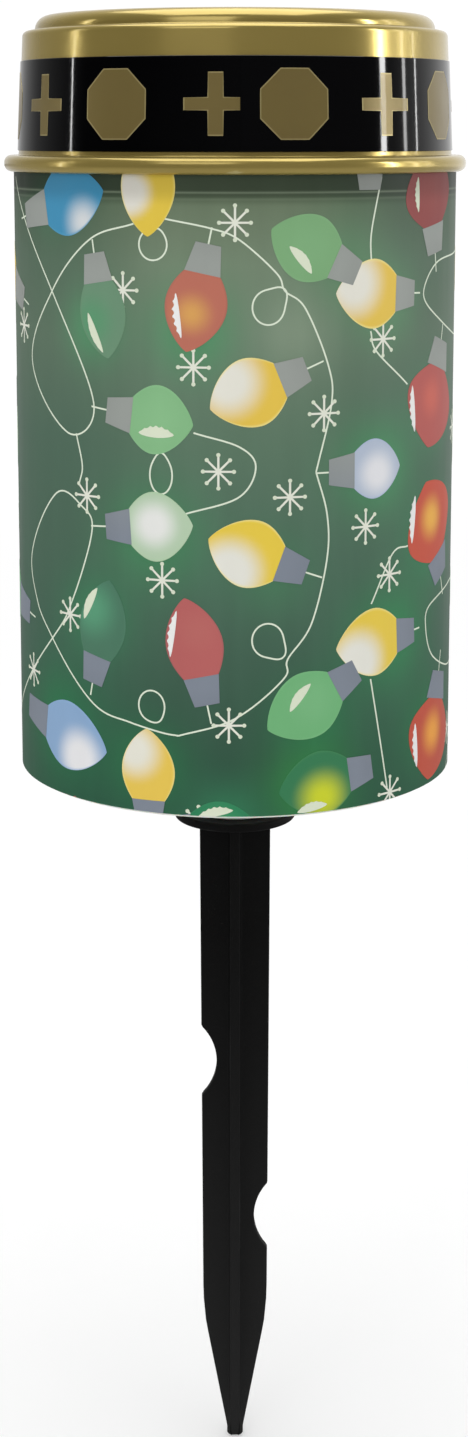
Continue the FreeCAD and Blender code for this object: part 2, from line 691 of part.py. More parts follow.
os.makedirs("parts", exist_ok=True)
for name, make in PARTS.items():
    shape = make()
    solids = shape.Solids
    if not shape.isValid() or not solids:
        raise ValueError(f"{name} is not a valid solid")
    kept = solids[0] if len(solids) == 1 else Part.makeCompound(solids)
    kept.exportStep(f"parts/{name}.step")
    print(f"{name:20s} solids {len(solids)} volume {shape.Volume:10.1f} mm3")
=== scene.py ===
# %% [markdown]
# # A solar lantern on a ground stake
# The lantern is a translucent cup wrapped in a printed film, under a gold lid that holds the solar
# panel. It plugs onto a black stake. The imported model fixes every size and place, so this first
# cell loads it, and everything after it is built round those boxes.

# %% Load the frame
import bmesh
import bpy
import numpy as np
from math import radians
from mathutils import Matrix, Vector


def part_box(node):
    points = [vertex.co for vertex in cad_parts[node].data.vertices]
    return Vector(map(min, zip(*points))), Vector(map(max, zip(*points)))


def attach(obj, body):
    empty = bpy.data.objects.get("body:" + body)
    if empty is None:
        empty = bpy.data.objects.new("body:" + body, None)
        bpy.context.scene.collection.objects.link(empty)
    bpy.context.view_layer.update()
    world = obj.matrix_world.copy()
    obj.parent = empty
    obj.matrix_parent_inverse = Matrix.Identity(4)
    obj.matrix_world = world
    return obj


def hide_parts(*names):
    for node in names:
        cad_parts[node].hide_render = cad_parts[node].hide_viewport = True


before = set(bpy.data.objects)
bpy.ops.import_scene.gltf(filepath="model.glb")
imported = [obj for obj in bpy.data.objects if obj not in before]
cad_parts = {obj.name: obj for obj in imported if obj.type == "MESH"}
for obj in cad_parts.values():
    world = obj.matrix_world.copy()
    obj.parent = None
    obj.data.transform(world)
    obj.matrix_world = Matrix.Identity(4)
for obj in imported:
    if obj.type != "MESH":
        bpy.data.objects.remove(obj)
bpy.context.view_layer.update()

# %% [markdown]
# ## Sizes taken from the frame
# The new pieces are worked out in millimetres, because that is how such a part is drawn, and they
# are turned into metres once, where a mesh is made. Heights on the print are counted from the foot
# of the cup, and angles from the front of the lantern, growing to the right.

# %% Heights and radii
MM = 0.001


def low_mm(node):
    """Lowest corner of a node's box, in millimetres."""
    return [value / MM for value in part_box(node)[0]]


def high_mm(node):
    """Highest corner of a node's box, in millimetres."""
    return [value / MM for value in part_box(node)[1]]


FILM_START = 0.6  # how far above the cup's foot the film starts
SKIRT_DROP = 3.4  # how far the lid's skirt hangs below its bead
FILM_R, FILM_TOP = high_mm("printed_sleeve")[0], high_mm("printed_sleeve")[2]
CUP_R, CUP_RIM = high_mm("lantern_cup")[0], high_mm("lantern_cup")[2]
SOCKET_LOW = low_mm("lantern_cup")[2]
CUP_BASE = low_mm("printed_sleeve")[2] - FILM_START
LIP_R, LID_TOP = high_mm("lid_shell")[0], high_mm("lid_shell")[2]
SKIRT_LOW = low_mm("lid_shell")[2]
LIP_LOW = SKIRT_LOW + SKIRT_DROP
BAND_LOW, BAND_HIGH = low_mm("lid_band")[2], high_mm("lid_band")[2]
STAKE_TOP = high_mm("ground_stake")[2]
print("cup", round(CUP_BASE, 1), "to", round(CUP_RIM, 1), "mm, lip at", round(LIP_LOW, 1))

# %% [markdown]
# ## Mesh helpers
# Nearly every piece here is a surface over a grid: rows of points, each row joined to the next. One
# helper turns such a grid into a mesh, and it closes the mesh round its seam and at its poles by
# merging points that fall together. Writing points and faces as whole arrays keeps this fast.

# %% From a grid of points to a piece
MERGE_WITHIN = 1e-7  # metres


def trim_flat(work, height, upwards):
    """Cuts the mesh at a height, drops the part above or below it, and closes the cut."""
    parts = work.verts[:] + work.edges[:] + work.faces[:]
    away = (0, 0, 1 if upwards else -1)
    bmesh.ops.bisect_plane(work, geom=parts, plane_co=(0, 0, height * MM), plane_no=away,
                           clear_outer=True)
    open_edges = [edge for edge in work.edges if edge.is_boundary]
    bmesh.ops.holes_fill(work, edges=open_edges)


def finish_mesh(name, points, faces, colours=None, sharp_over=32, trim=None):
    """Makes the piece: metres, doubles merged, cut to trim's (low, high), faces outwards, creases sharp."""
    mesh = bpy.data.meshes.new(name)
    mesh.from_pydata((points * MM).tolist(), [], faces.tolist())
    if colours is not None:
        ink = mesh.color_attributes.new("ink", "FLOAT_COLOR", "POINT")
        ink.data.foreach_set("color", np.column_stack([colours, np.ones(len(colours))]).ravel())
    work = bmesh.new()
    work.from_mesh(mesh)
    bmesh.ops.remove_doubles(work, verts=work.verts, dist=MERGE_WITHIN)
    if trim:
        trim_flat(work, trim[1], True)
        trim_flat(work, trim[0], False)
    bmesh.ops.recalc_face_normals(work, faces=work.faces)
    work.to_mesh(mesh)
    work.free()
    mesh.shade_smooth()
    mesh.set_sharp_from_angle(angle=radians(sharp_over))
    piece = bpy.data.objects.new(name, mesh)
    bpy.context.scene.collection.objects.link(piece)
    print(name, len(mesh.polygons), "faces")
    return piece


def grid_faces(rows, columns, wrap_rows=False, wrap_columns=False):
    """Four corners of every cell of a grid whose points are numbered row by row."""
    index = np.arange(rows * columns).reshape(rows, columns)
    if wrap_rows:
        index = np.vstack([index, index[:1]])
    if wrap_columns:
        index = np.hstack([index, index[:, :1]])
    corners = [index[:-1, :-1], index[:-1, 1:], index[1:, 1:], index[1:, :-1]]
    return np.stack(corners, axis=-1).reshape(-1, 4)


def joined(parts):
    """Several (points, faces, colours) parts as one: a part's point numbers follow on from the last's."""
    counts = np.cumsum([0] + [len(points) for points, faces, colours in parts])
    points = np.vstack([part[0] for part in parts])
    faces = np.vstack([part[1] + start for part, start in zip(parts, counts)])
    colours = None if parts[0][2] is None else np.vstack([part[2] for part in parts])
    return points, faces, colours


# %% Rounded profiles and turned pieces
def rounded(corners, closed=True, steps=7):
    """A profile with each corner (r, z, radius) replaced by an arc tangent to its two sides.

    The arc leaves each side at radius / tan(half the corner) from the corner, and its points are
    the even turn of one end's radial direction into the other's. An open profile keeps its ends.
    """
    data = np.array(corners, float)
    spot, radius = data[:, :2], np.maximum(data[:, 2:3], 1e-4)
    to_last, to_next = np.roll(spot, 1, axis=0) - spot, np.roll(spot, -1, axis=0) - spot
    to_last /= np.linalg.norm(to_last, axis=1, keepdims=True)
    to_next /= np.linalg.norm(to_next, axis=1, keepdims=True)
    half = np.arccos(np.clip((to_last * to_next).sum(1, keepdims=True), -1, 1)) / 2
    half = np.minimum(half, np.pi / 2 - 1e-3)
    cut = radius / np.tan(half)
    middle = to_last + to_next
    middle /= np.maximum(np.linalg.norm(middle, axis=1, keepdims=True), 1e-9)
    centre = spot + middle * radius / np.sin(half)
    start, end = spot + to_last * cut - centre, spot + to_next * cut - centre
    turn = (np.pi - 2 * half)[:, None]
    share = np.linspace(0, 1, steps)[None, :, None]
    arc = (np.sin((1 - share) * turn) * start[:, None] + np.sin(share * turn) * end[:, None]) / np.sin(turn)
    profile = (centre[:, None] + arc).reshape(-1, 2)
    if not closed:
        profile = np.vstack([spot[:1], profile[steps:-steps], spot[-1:]])
    return profile


def turned_part(profile, closed=True, segments=256):
    """A profile of (r, z) carried round the axis: x = r sin a, y = -r cos a, z = z."""
    angle = np.linspace(0, 2 * np.pi, segments, endpoint=False)
    r, z = profile[:, :1], profile[:, 1:]
    points = np.stack([r * np.sin(angle), -r * np.cos(angle), z + 0 * angle], axis=-1)
    faces = grid_faces(len(profile), segments, wrap_rows=closed, wrap_columns=True)
    return points.reshape(-1, 3), faces, None


square = rounded([(0, 0, 1), (4, 0, 1), (4, 4, 1), (0, 4, 1)])
print("a square with round corners has", len(square), "points")

# %% [markdown]
# ## Finishes
# A moulded or printed surface is never one flat colour. Two node groups carry what the finishes
# share. The first makes faint cloudy differences of colour and gloss, with a fine grain in the
# normal. The second finds raised edges, where handling rubs a surface smooth and pale. Each
# material places the groups with its own values and keeps its shader to itself.

# %% Node helpers
BUMP_DEPTH = 0.0001  # metres


def srgb(*rgb):
    """Colours given from 0 to 255, as the linear values that a shader uses."""
    share = np.array(rgb, float) / 255
    return np.where(share <= 0.04045, share / 12.92, ((share + 0.055) / 1.055) ** 2.4)


def rgba(*rgb):
    """The same for one colour, with full alpha."""
    return (*srgb(*rgb), 1.0)


def give(tree, target, value):
    """Links an input if the value is another node's socket, or else sets it."""
    if isinstance(value, bpy.types.NodeSocket):
        tree.links.new(value, target)
    else:
        target.default_value = value


def fill(tree, node, **values):
    """Gives a node's inputs their values by name, with _ for a space."""
    for label, value in values.items():
        give(tree, node.inputs[label.replace("_", " ")], value)
    return node


def add(tree, kind, **values):
    """A new node: a name that it has itself is a setting, and any other is an input."""
    node = tree.nodes.new("ShaderNode" + kind)
    for label, value in values.items():
        if hasattr(node, label):
            setattr(node, label, value)
        else:
            fill(tree, node, **{label: value})
    return node


def plug(tree, node, **places):
    """Gives a node's inputs their values by number: in0, in1 and so on."""
    for label, value in places.items():
        give(tree, node.inputs[int(label[2:])], value)
    return node


def mixed(tree, share, first, second, how="MIX"):
    """Colour between first and second."""
    node = add(tree, "Mix", data_type="RGBA", blend_type=how)
    return plug(tree, node, in0=share, in6=first, in7=second).outputs[2]


def between(tree, share, first, second):
    """Number between first and second."""
    node = add(tree, "Mix", data_type="FLOAT")
    return plug(tree, node, in0=share, in2=first, in3=second).outputs[0]


def sums(tree, how, first, second, clamp=False):
    """One step of arithmetic."""
    node = add(tree, "Math", operation=how, use_clamp=clamp)
    return plug(tree, node, in0=first, in1=second).outputs[0]


def spread(tree, value, low, high, to_low, to_high):
    """A value's range from low..high carried over to to_low..to_high."""
    node = add(tree, "MapRange", Value=value, From_Min=low, From_Max=high)
    return plug(tree, node, in3=to_low, in4=to_high).outputs[0]


def new_group(name, inputs, outputs):
    """An empty shader group with these (name, kind, value) inputs and (name, kind) outputs."""
    group = bpy.data.node_groups.new(name, "ShaderNodeTree")
    for label, kind, value in inputs:
        socket = group.interface.new_socket(label, in_out="INPUT", socket_type="NodeSocket" + kind)
        socket.default_value = value
    for label, kind in outputs:
        group.interface.new_socket(label, in_out="OUTPUT", socket_type="NodeSocket" + kind)
    return group, group.nodes.new("NodeGroupInput").outputs, group.nodes.new("NodeGroupOutput").inputs


def place_group(tree, group, **values):
    """A group placed in a material, with its inputs set or linked."""
    node = tree.nodes.new("ShaderNodeGroup")
    node.node_tree = group
    return fill(tree, node, **values).outputs


def surface_result(group, result, colour, roughness, height, strength):
    """Wires a surface group's three outputs; the normal is lifted by a bump of the given height."""
    bump = add(group, "Bump", Height=height, Strength=strength, Distance=BUMP_DEPTH)
    group.links.new(colour, result["Colour"])
    group.links.new(roughness, result["Roughness"])
    group.links.new(bump.outputs[0], result["Normal"])


print("node helpers ready; mid grey is", srgb(128).round(3))


# %% Group: moulded surface
def moulded_group():
    """Colour and gloss drift with a broad noise; a fine noise lifts the normal."""
    group, given, result = new_group(
        "moulded_surface",
        [("Colour", "Color", (0.5, 0.5, 0.5, 1)), ("Drift colour", "Color", (0.4, 0.4, 0.4, 1)),
         ("Drift size", "Float", 60.0), ("Gloss low", "Float", 0.3), ("Gloss high", "Float", 0.45),
         ("Grain size", "Float", 2500.0), ("Grain depth", "Float", 0.1)],
        [("Colour", "Color"), ("Roughness", "Float"), ("Normal", "Vector")])
    place = add(group, "TexCoord").outputs["Object"]
    drift = add(group, "TexNoise", Vector=place, Scale=given["Drift size"], Detail=3.0).outputs[0]
    grain = add(group, "TexNoise", Vector=place, Scale=given["Grain size"], Detail=2.0).outputs[0]
    paint = mixed(group, drift, given["Colour"], given["Drift colour"])
    gloss = spread(group, drift, 0.25, 0.75, given["Gloss low"], given["Gloss high"])
    surface_result(group, result, paint, gloss, grain, given["Grain depth"])
    return group


def edge_group():
    """A mask of raised edges, from the surface's pointiness, broken up by noise."""
    group, given, result = new_group("rubbed_edges", [("Amount", "Float", 0.5)], [("Mask", "Float")])
    edge = add(group, "NewGeometry").outputs["Pointiness"]
    place = add(group, "TexCoord").outputs["Object"]
    broken = add(group, "TexNoise", Vector=place, Scale=420.0, Detail=4.0).outputs[0]
    raised = spread(group, edge, 0.52, 0.62, 0.0, 1.0)
    part = sums(group, "MULTIPLY", raised, broken)
    group.links.new(sums(group, "MULTIPLY", part, given["Amount"], True), result["Mask"])
    return group


MOULDED = moulded_group()
RUBBED = edge_group()


# %% One recipe for the solid finishes
TIP_LIGHT_FROM = 0.105  # metres above the stake's tip, where a painted lighter tip begins; above it the stake stays darker, as in the cup's shadow


def new_material(name):
    """A material, its node tree and its shader."""
    material = bpy.data.materials.new(name)
    material.use_nodes = True
    tree = material.node_tree
    return material, tree, tree.nodes["Principled BSDF"]


def solid_finish(name, colour, drift, gloss=(0.35, 0.5), drift_size=60.0, grain_size=2500.0,
                 grain_depth=0.1, rubbed=None, tip=None, **constants):
    """The moulded group into a Principled shader, with rubbed edges where a paler colour is given.

    A tip colour comes in by degrees from a set height down to the tip: painted light, so that the stake's
    upper part stays darker, as in the cup's shadow.
    """
    material, tree, shader = new_material(name)
    body = place_group(tree, MOULDED, Colour=colour, Drift_colour=drift, Drift_size=drift_size,
                       Gloss_low=gloss[0], Gloss_high=gloss[1], Grain_size=grain_size,
                       Grain_depth=grain_depth)
    paint = body["Colour"]
    if rubbed is not None:
        paint = mixed(tree, place_group(tree, RUBBED, Amount=0.8)["Mask"], paint, rubbed)
    if tip is not None:
        height = add(tree, "SeparateXYZ", Vector=add(tree, "TexCoord").outputs["Object"]).outputs[2]
        paint = mixed(tree, spread(tree, height, TIP_LIGHT_FROM, 0.0, 0.0, 1.0), paint, tip)
    fill(tree, shader, Base_Color=paint, Roughness=body["Roughness"], Normal=body["Normal"], **constants)
    return material


print("groups:", [group.name for group in bpy.data.node_groups])

# %% [markdown]
# ### Solid colours
# The lid is plastic under a gold lacquer. Metal flakes give it coloured reflections, and a clear
# coat adds whiter, sharper ones. The base is darker than gold leaf, because a lacquer reflects less
# than metal does, and the room in it should read as bronze with bright streaks. The black foil and
# the stake take little light at all, so their specular level is low.

# %% Gold, black and white finishes
gold_lacquer = solid_finish(
    "gold_lacquer", rgba(184, 163, 92), rgba(170, 150, 80), gloss=(0.15, 0.24), drift_size=90.0,
    grain_size=5200.0, grain_depth=0.05, rubbed=rgba(222, 210, 156), Metallic=0.6,
    Coat_Weight=0.25, Coat_Roughness=0.05, Coat_IOR=1.5)
window_gold = solid_finish(
    "window_gold", rgba(128, 112, 62), rgba(118, 102, 56), gloss=(0.3, 0.4), drift_size=120.0,
    grain_size=5200.0, grain_depth=0.03, Metallic=0.35, Coat_Weight=0.2, Coat_Roughness=0.05)
window_edge = solid_finish(
    "window_edge", rgba(176, 162, 112), rgba(160, 146, 98), gloss=(0.3, 0.4), grain_depth=0.02,
    Metallic=0.4)
black_foil = solid_finish(
    "black_foil", rgba(1, 1, 2), rgba(2, 2, 3), gloss=(0.04, 0.08), drift_size=40.0,
    grain_size=900.0, grain_depth=0.02, Specular_IOR_Level=0.35)
# The stake is painted lighter towards its tip, and its upper part is left darker as painted shade of the
# cup above it.
stake_black = solid_finish(
    "stake_black", rgba(12, 12, 12), rgba(16, 16, 16), gloss=(0.44, 0.6), drift_size=45.0,
    grain_size=2600.0, grain_depth=0.35, rubbed=rgba(34, 34, 34), tip=rgba(38, 38, 38),
    Specular_IOR_Level=0.08)
tray_black = solid_finish(
    "tray_black", rgba(22, 22, 24), rgba(30, 30, 32), gloss=(0.4, 0.55), grain_depth=0.3,
    rubbed=rgba(58, 58, 60), Specular_IOR_Level=0.35)
switch_white = solid_finish(
    "switch_white", rgba(226, 226, 220), rgba(214, 214, 206), gloss=(0.32, 0.45), grain_depth=0.12)
print("finishes of the outside:", len(bpy.data.materials))

# %% Finishes of the small parts
nickel_steel = solid_finish(
    "nickel_steel", rgba(190, 190, 188), rgba(150, 150, 148), gloss=(0.2, 0.4), drift_size=700.0,
    grain_size=6000.0, grain_depth=0.15, rubbed=rgba(225, 225, 222), Metallic=1.0)
silicone_ring = solid_finish(
    "silicone_ring", rgba(206, 204, 196), rgba(186, 184, 176), gloss=(0.5, 0.62), grain_depth=0.15,
    Subsurface_Weight=0.1, Subsurface_Scale=0.001)
tray_screen = solid_finish(
    "green_solder_mask", rgba(30, 92, 58), rgba(22, 76, 46), gloss=(0.22, 0.34), drift_size=900.0,
    grain_size=3500.0, grain_depth=0.2)
chip_epoxy = solid_finish(
    "chip_epoxy", rgba(26, 26, 28), rgba(36, 36, 38), gloss=(0.5, 0.66), drift_size=1500.0,
    grain_size=9000.0, grain_depth=0.4)
choke_green = solid_finish(
    "choke_green", rgba(96, 148, 104), rgba(74, 120, 82), gloss=(0.25, 0.4), drift_size=1200.0,
    grain_depth=0.15, Coat_Weight=0.4)
red_wire = solid_finish(
    "red_insulation", rgba(176, 28, 26), rgba(150, 20, 18), gloss=(0.35, 0.5), grain_depth=0.1)
black_wire = solid_finish(
    "black_insulation", rgba(26, 26, 28), rgba(34, 34, 36), gloss=(0.35, 0.5), grain_depth=0.1)
battery_wrap = solid_finish(
    "battery_wrap", rgba(58, 66, 78), rgba(48, 56, 68), gloss=(0.2, 0.3), drift_size=300.0,
    grain_depth=0.04, rubbed=rgba(120, 126, 134))
lamp_epoxy = solid_finish(
    "lamp_epoxy", rgba(238, 232, 206), rgba(228, 220, 190), gloss=(0.1, 0.2), grain_depth=0.03,
    Transmission_Weight=0.5, IOR=1.5)
print("with the small parts:", len(bpy.data.materials))

# %% [markdown]
# ### Clear and translucent finishes
# The cup is milky plastic that lets light soak in, so a share of subsurface scattering is enough
# and keeps the render quick. The lens over the lamp and the resin over the cells are clear: a full
# transmission shader, whose gloss varies a little because poured resin is never quite even.

# %% Milky cup, clear lens, clear resin
cup_milk = solid_finish(
    "cup_milk", rgba(222, 224, 216), rgba(210, 212, 204), gloss=(0.42, 0.55), drift_size=35.0,
    grain_size=1800.0, grain_depth=0.2, Subsurface_Weight=0.35, Subsurface_Scale=0.004)


def clear_finish(name, tint, drift, gloss, grain_depth):
    """Plain glass-like shader whose tint and gloss come from the moulded group."""
    return solid_finish(name, tint, drift, gloss=gloss, drift_size=160.0, grain_size=700.0,
                        grain_depth=grain_depth, Transmission_Weight=1.0, IOR=1.49)


clear_lens = clear_finish("clear_lens", rgba(246, 248, 248), rgba(238, 242, 242), (0.03, 0.09), 0.05)
clear_resin = clear_finish("clear_resin", rgba(250, 250, 246), rgba(242, 244, 238), (0.02, 0.06), 0.03)
print("with the clear ones:", len(bpy.data.materials))

# %% [markdown]
# ### Solar cells
# A silicon strip is nearly black with a blue cast. Its face carries thin silver collecting lines
# across and two thicker busbars along, which a pattern on the Object coordinates can draw: a line
# is where the distance to the nearest step of a regular spacing is small.

# %% Cells with collecting lines
HALF_LINE, HALF_BAR = 0.00007, 0.0003  # half widths in metres


def cell_group():
    """Mask of the silver lines on a cell: fine ones across it and busbars along it."""
    group, given, result = new_group(
        "collecting_lines", [("Half line gap", "Float", 0.0009), ("Half bar gap", "Float", 0.0023)],
        [("Mask", "Float"), ("Grain", "Float")])
    place = add(group, "TexCoord").outputs["Object"]
    axes = add(group, "SeparateXYZ", Vector=place).outputs
    to_line = sums(group, "PINGPONG", axes[1], given["Half line gap"])
    to_bar = sums(group, "PINGPONG", axes[0], given["Half bar gap"])
    lines = sums(group, "LESS_THAN", to_line, HALF_LINE)
    bars = sums(group, "LESS_THAN", to_bar, HALF_BAR)
    grain = add(group, "TexVoronoi", Vector=place, Scale=900.0).outputs[0]
    group.links.new(sums(group, "MAXIMUM", lines, bars), result["Mask"])
    group.links.new(grain, result["Grain"])
    return group


def cell_finish():
    """Blue-black silicon with a slight crystal mottle, and silver where the lines run."""
    material, tree, shader = new_material("solar_silicon")
    lines = place_group(tree, cell_group())
    silicon = mixed(tree, lines["Grain"], rgba(14, 18, 34), rgba(24, 32, 58))
    fill(tree, shader, Base_Color=mixed(tree, lines["Mask"], silicon, rgba(176, 178, 180)),
         Metallic=sums(tree, "MULTIPLY", lines["Mask"], 0.8),
         Roughness=spread(tree, lines["Grain"], 0.0, 1.0, 0.22, 0.36))
    return material


solar_silicon = cell_finish()
print("cell lines drawn by", [node.name for node in solar_silicon.node_tree.nodes if node.type == "GROUP"])

# %% [markdown]
# ### Printing ink
# Everything printed on the film takes its colour from one attribute, "ink", which is stored at the
# points of the film and of each printed shape. One finish then serves them all: it adds the faint
# vertical unevenness of a film pulled round a cup, and a soft plastic sheen.

# %% Ink
def ink_group():
    """Ink colour times a slight streakiness, which is a noise stretched along the height."""
    group, given, result = new_group(
        "printed_ink", [("Ink", "Color", (0.5, 0.5, 0.5, 1)), ("Streaks", "Float", 0.06)],
        [("Colour", "Color"), ("Roughness", "Float"), ("Normal", "Vector")])
    place = add(group, "TexCoord").outputs["Object"]
    pulled = add(group, "Mapping", Vector=place, Scale=(1.0, 1.0, 0.08)).outputs[0]
    streak = add(group, "TexNoise", Vector=pulled, Scale=260.0, Detail=3.0).outputs[0]
    fleck = add(group, "TexNoise", Vector=place, Scale=3000.0, Detail=1.0).outputs[0]
    shade = spread(group, streak, 0.2, 0.8, sums(group, "SUBTRACT", 1.0, given["Streaks"]),
                   sums(group, "ADD", 1.0, given["Streaks"]))
    tone = add(group, "CombineXYZ", X=shade, Y=shade, Z=shade).outputs[0]
    colour = mixed(group, 1.0, given["Ink"], tone, "MULTIPLY")
    surface_result(group, result, colour, spread(group, streak, 0.2, 0.8, 0.38, 0.52), fleck, 0.05)
    return group


PRINTED = ink_group()


def ink_finish(name, streaks):
    """The ink group into a Principled shader with a soft sheen."""
    material, tree, shader = new_material(name)
    ink = add(tree, "Attribute", attribute_name="ink").outputs["Color"]
    film = place_group(tree, PRINTED, Ink=ink, Streaks=streaks)
    fill(tree, shader, Base_Color=film["Colour"], Roughness=film["Roughness"], Normal=film["Normal"],
         Specular_IOR_Level=0.16)
    return material


printed_film = ink_finish("printed_film", 0.05)
printed_shapes = ink_finish("printed_shapes", 0.02)
print("all finishes:", len(bpy.data.materials))

# %% [markdown]
# ## The stake
# The stake is one moulding: two crossed blades, a round flange that stops it at the soil, and a peg.
# A blade could be a flat plate with a bevel, but here the whole cross is one section, a plus sign
# with rounded arms, carried down the height while its arms change length. A bite in an edge is then
# only a dip in one arm's length.

# %% Crossed blades
HALF_BLADE = 0.95  # half a blade's thickness
EDGE = 0.3  # rounding of its outer edges
TIP_ARM = 1.33  # arm length at the rounded tip; shorter arms are thinned in proportion
BITE_R = 10.0
FLANGE_LOW = STAKE_TOP - 10.9


def arm_length(z, bites):
    """Arm length at height z: a taper, a point below 27 mm, a rounded tip, less any round bite.

    A bite (height, depth) is a circle of radius BITE_R that reaches depth in from the edge.
    """
    length = np.interp(z, [0.0, 0.2, 0.8, 22.0, 24.5, 29.0, 32.0, FLANGE_LOW],
                       [0.5, 1.05, TIP_ARM, 5.29, 5.72, 6.13, 6.22, 6.7])
    for height, depth in bites:
        reach = np.sqrt(np.clip(BITE_R ** 2 - (z - height) ** 2, 0, None))
        length = length - np.clip(depth - BITE_R + reach, 0, None)
    return length


def crossed_blades():
    """Four arms in turn; each arm is 9 points, as a share of its length plus a fixed offset in mm."""
    z = np.concatenate([[0, 0.2, 0.8, 1.6], np.linspace(3, 21, 19), np.linspace(22, 32, 21),
                        np.linspace(33, 86, 107), np.linspace(88, FLANGE_LOW + 0.6, 38)])
    h, e = HALF_BLADE, EDGE
    share = np.array([0, 0, 1, 1, 1, 1, 1, 1, 0])
    along = np.array([h + 0.25, h + 0.6, -e, -e * 0.3, 0, 0, -e * 0.3, -e, h + 0.6])
    across = -np.array([h + 0.25, h, h, h - e * 0.3, h - e, -h + e, -h + e * 0.3, -h, -h])
    plain, left, right = arm_length(z, []), arm_length(z, [(78.2, 2.9)]), arm_length(z, [(46.4, 2.6)])
    rings = []
    for length, (cos_a, sin_a) in zip([right, plain, left, plain], [(1, 0), (0, 1), (-1, 0), (0, -1)]):
        slim = np.minimum(1, length / TIP_ARM)[:, None]
        far = np.maximum(share * length[:, None] + along * slim, slim * h)
        side = across * slim + 0 * far
        turned_far, turned_side = far * cos_a - side * sin_a, far * sin_a + side * cos_a
        rings.append(np.stack([turned_far, turned_side, z[:, None] + 0 * far], -1))
    body = np.concatenate(rings, axis=1)
    tip, top = body[:1] * [0, 0, 1], body[-1:] * [0, 0, 1]
    grid = np.concatenate([tip, body, top])
    return grid.reshape(-1, 3), grid_faces(*grid.shape[:2], wrap_columns=True), None


print("arms at 10, 50 and 100 mm:", arm_length(np.array([10, 50, 100]), []).round(2), "mm")

# %% Flange and peg
FLANGE_R, FLANGE_TOP = 11.4, FLANGE_LOW + 1.6
PEG_R, PEG_BORE, PEG_FLOOR = 5.45, 3.65, FLANGE_LOW + 2.6
flange = rounded([(0, FLANGE_LOW, 0), (FLANGE_R, FLANGE_LOW, 0.5), (FLANGE_R, FLANGE_TOP, 0.5),
                  (PEG_R, FLANGE_TOP, 0.3), (PEG_R, STAKE_TOP, 0.6), (PEG_BORE, STAKE_TOP, 0.3),
                  (PEG_BORE, PEG_FLOOR, 0.3), (0, PEG_FLOOR, 0)], closed=False)
points, faces = joined([crossed_blades(), turned_part(flange, False, 128)])[:2]
stake = finish_mesh("stake_moulding", points, faces, sharp_over=40)
stake.data.materials.append(stake_black)
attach(stake, "stake")
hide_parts("ground_stake")

# %% [markdown]
# ## The cup
# The cup is a turned shape: its wall and floor are one profile carried round the axis. Under the
# floor stands the socket that takes the peg, with four gussets. Each gusset is a small wedge made
# from its side outline, given a thickness and turned to its place.

# %% Cup, socket and gussets
CUP_INSIDE, CUP_FLOOR = CUP_R - 1.5, CUP_BASE + 1.6
SOCKET_BORE, SOCKET_R = 5.52, 8.5
ROOTED = CUP_BASE + 0.3  # socket and gussets end a little inside the floor
GUSSET_LOW, GUSSET_FAR, HALF_GUSSET = SOCKET_LOW + 2.0, 22.0, 0.7
cup_profile = rounded([(0, CUP_BASE, 0), (CUP_R, CUP_BASE, 1.0), (CUP_R, CUP_RIM, 0.35),
                       (CUP_INSIDE, CUP_RIM, 0.5), (CUP_INSIDE, CUP_FLOOR, 1.0),
                       (0, CUP_FLOOR, 0)], closed=False)
socket_profile = rounded([(SOCKET_BORE, SOCKET_LOW, 0.3), (SOCKET_R, SOCKET_LOW, 0.4),
                          (SOCKET_R, ROOTED, 0), (SOCKET_BORE, ROOTED, 0)])


def gusset(turn):
    """A wedge under the floor: its side outline (r, z), shrunk to a point at each face, and turned."""
    side = rounded([(7.8, ROOTED, 0), (7.8, GUSSET_LOW, 0), (9.1, GUSSET_LOW, 0.4),
                    (GUSSET_FAR, CUP_BASE - 0.6, 0.4), (GUSSET_FAR, ROOTED, 0)])
    half = HALF_GUSSET * np.array([-1, -1, 1, 1])[:, None]
    shrink = np.array([0.0, 1.0, 1.0, 0.0])[:, None]
    middle = side.mean(0)
    r = middle[0] + (side[:, 0] - middle[0]) * shrink
    z = middle[1] + (side[:, 1] - middle[1]) * shrink
    y = half + 0 * r
    a = radians(turn)
    grid = np.stack([r * np.cos(a) - y * np.sin(a), r * np.sin(a) + y * np.cos(a), z], -1)
    return grid.reshape(-1, 3), grid_faces(4, len(side), wrap_columns=True), None


cup_parts = [turned_part(cup_profile, False), turned_part(socket_profile, True, 128)]
points, faces = joined(cup_parts + [gusset(turn) for turn in (45, 135, 225, 315)])[:2]
cup = finish_mesh("cup_moulding", points, faces)
cup.data.materials.append(cup_milk)
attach(cup, "lantern")
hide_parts("lantern_cup")

# %% [markdown]
# ## The printed film
# A printed film is wrapped once round the cup and overlaps itself a little at the back. Its picture
# is strings of coloured bulbs on a green ground, the lower half nearly a mirror image of the upper,
# and the same picture again on the back. The green is a smooth field, so it is painted on the
# film's own points; everything with a crisp edge is a thin sheet of its own laid on the film.

# %% The film's place and colours
OVERLAP = 115.0  # degrees from the front
OVERLAP_STEP, OVERLAP_FADE = 0.08, 14
FILM_THICK = 0.26


def film_radius(angle):
    """The film's radius: it steps up at the overlap and comes back down over OVERLAP_FADE degrees."""
    past = np.mod(angle - OVERLAP - 0.02, 360)
    return FILM_R + OVERLAP_STEP * np.clip(1 - past / OVERLAP_FADE, 0, 1)


def on_film(angle, height, lift):
    """Angle in degrees from the front and height over the cup's foot, as x, y, z."""
    r, a = film_radius(angle) + lift, np.radians(angle)
    return np.stack([r * np.sin(a), -r * np.cos(a), CUP_BASE + height], -1)


def eased(value, low, high):
    """0 below low, 1 above high, and a smooth S between them."""
    t = np.clip((value - low) / (high - low), 0, 1)
    return t * t * (3 - 2 * t)


def blend(first, second, share):
    """Colours between first and second, with one share for each point."""
    return first + (second - first) * np.asarray(share)[..., None]
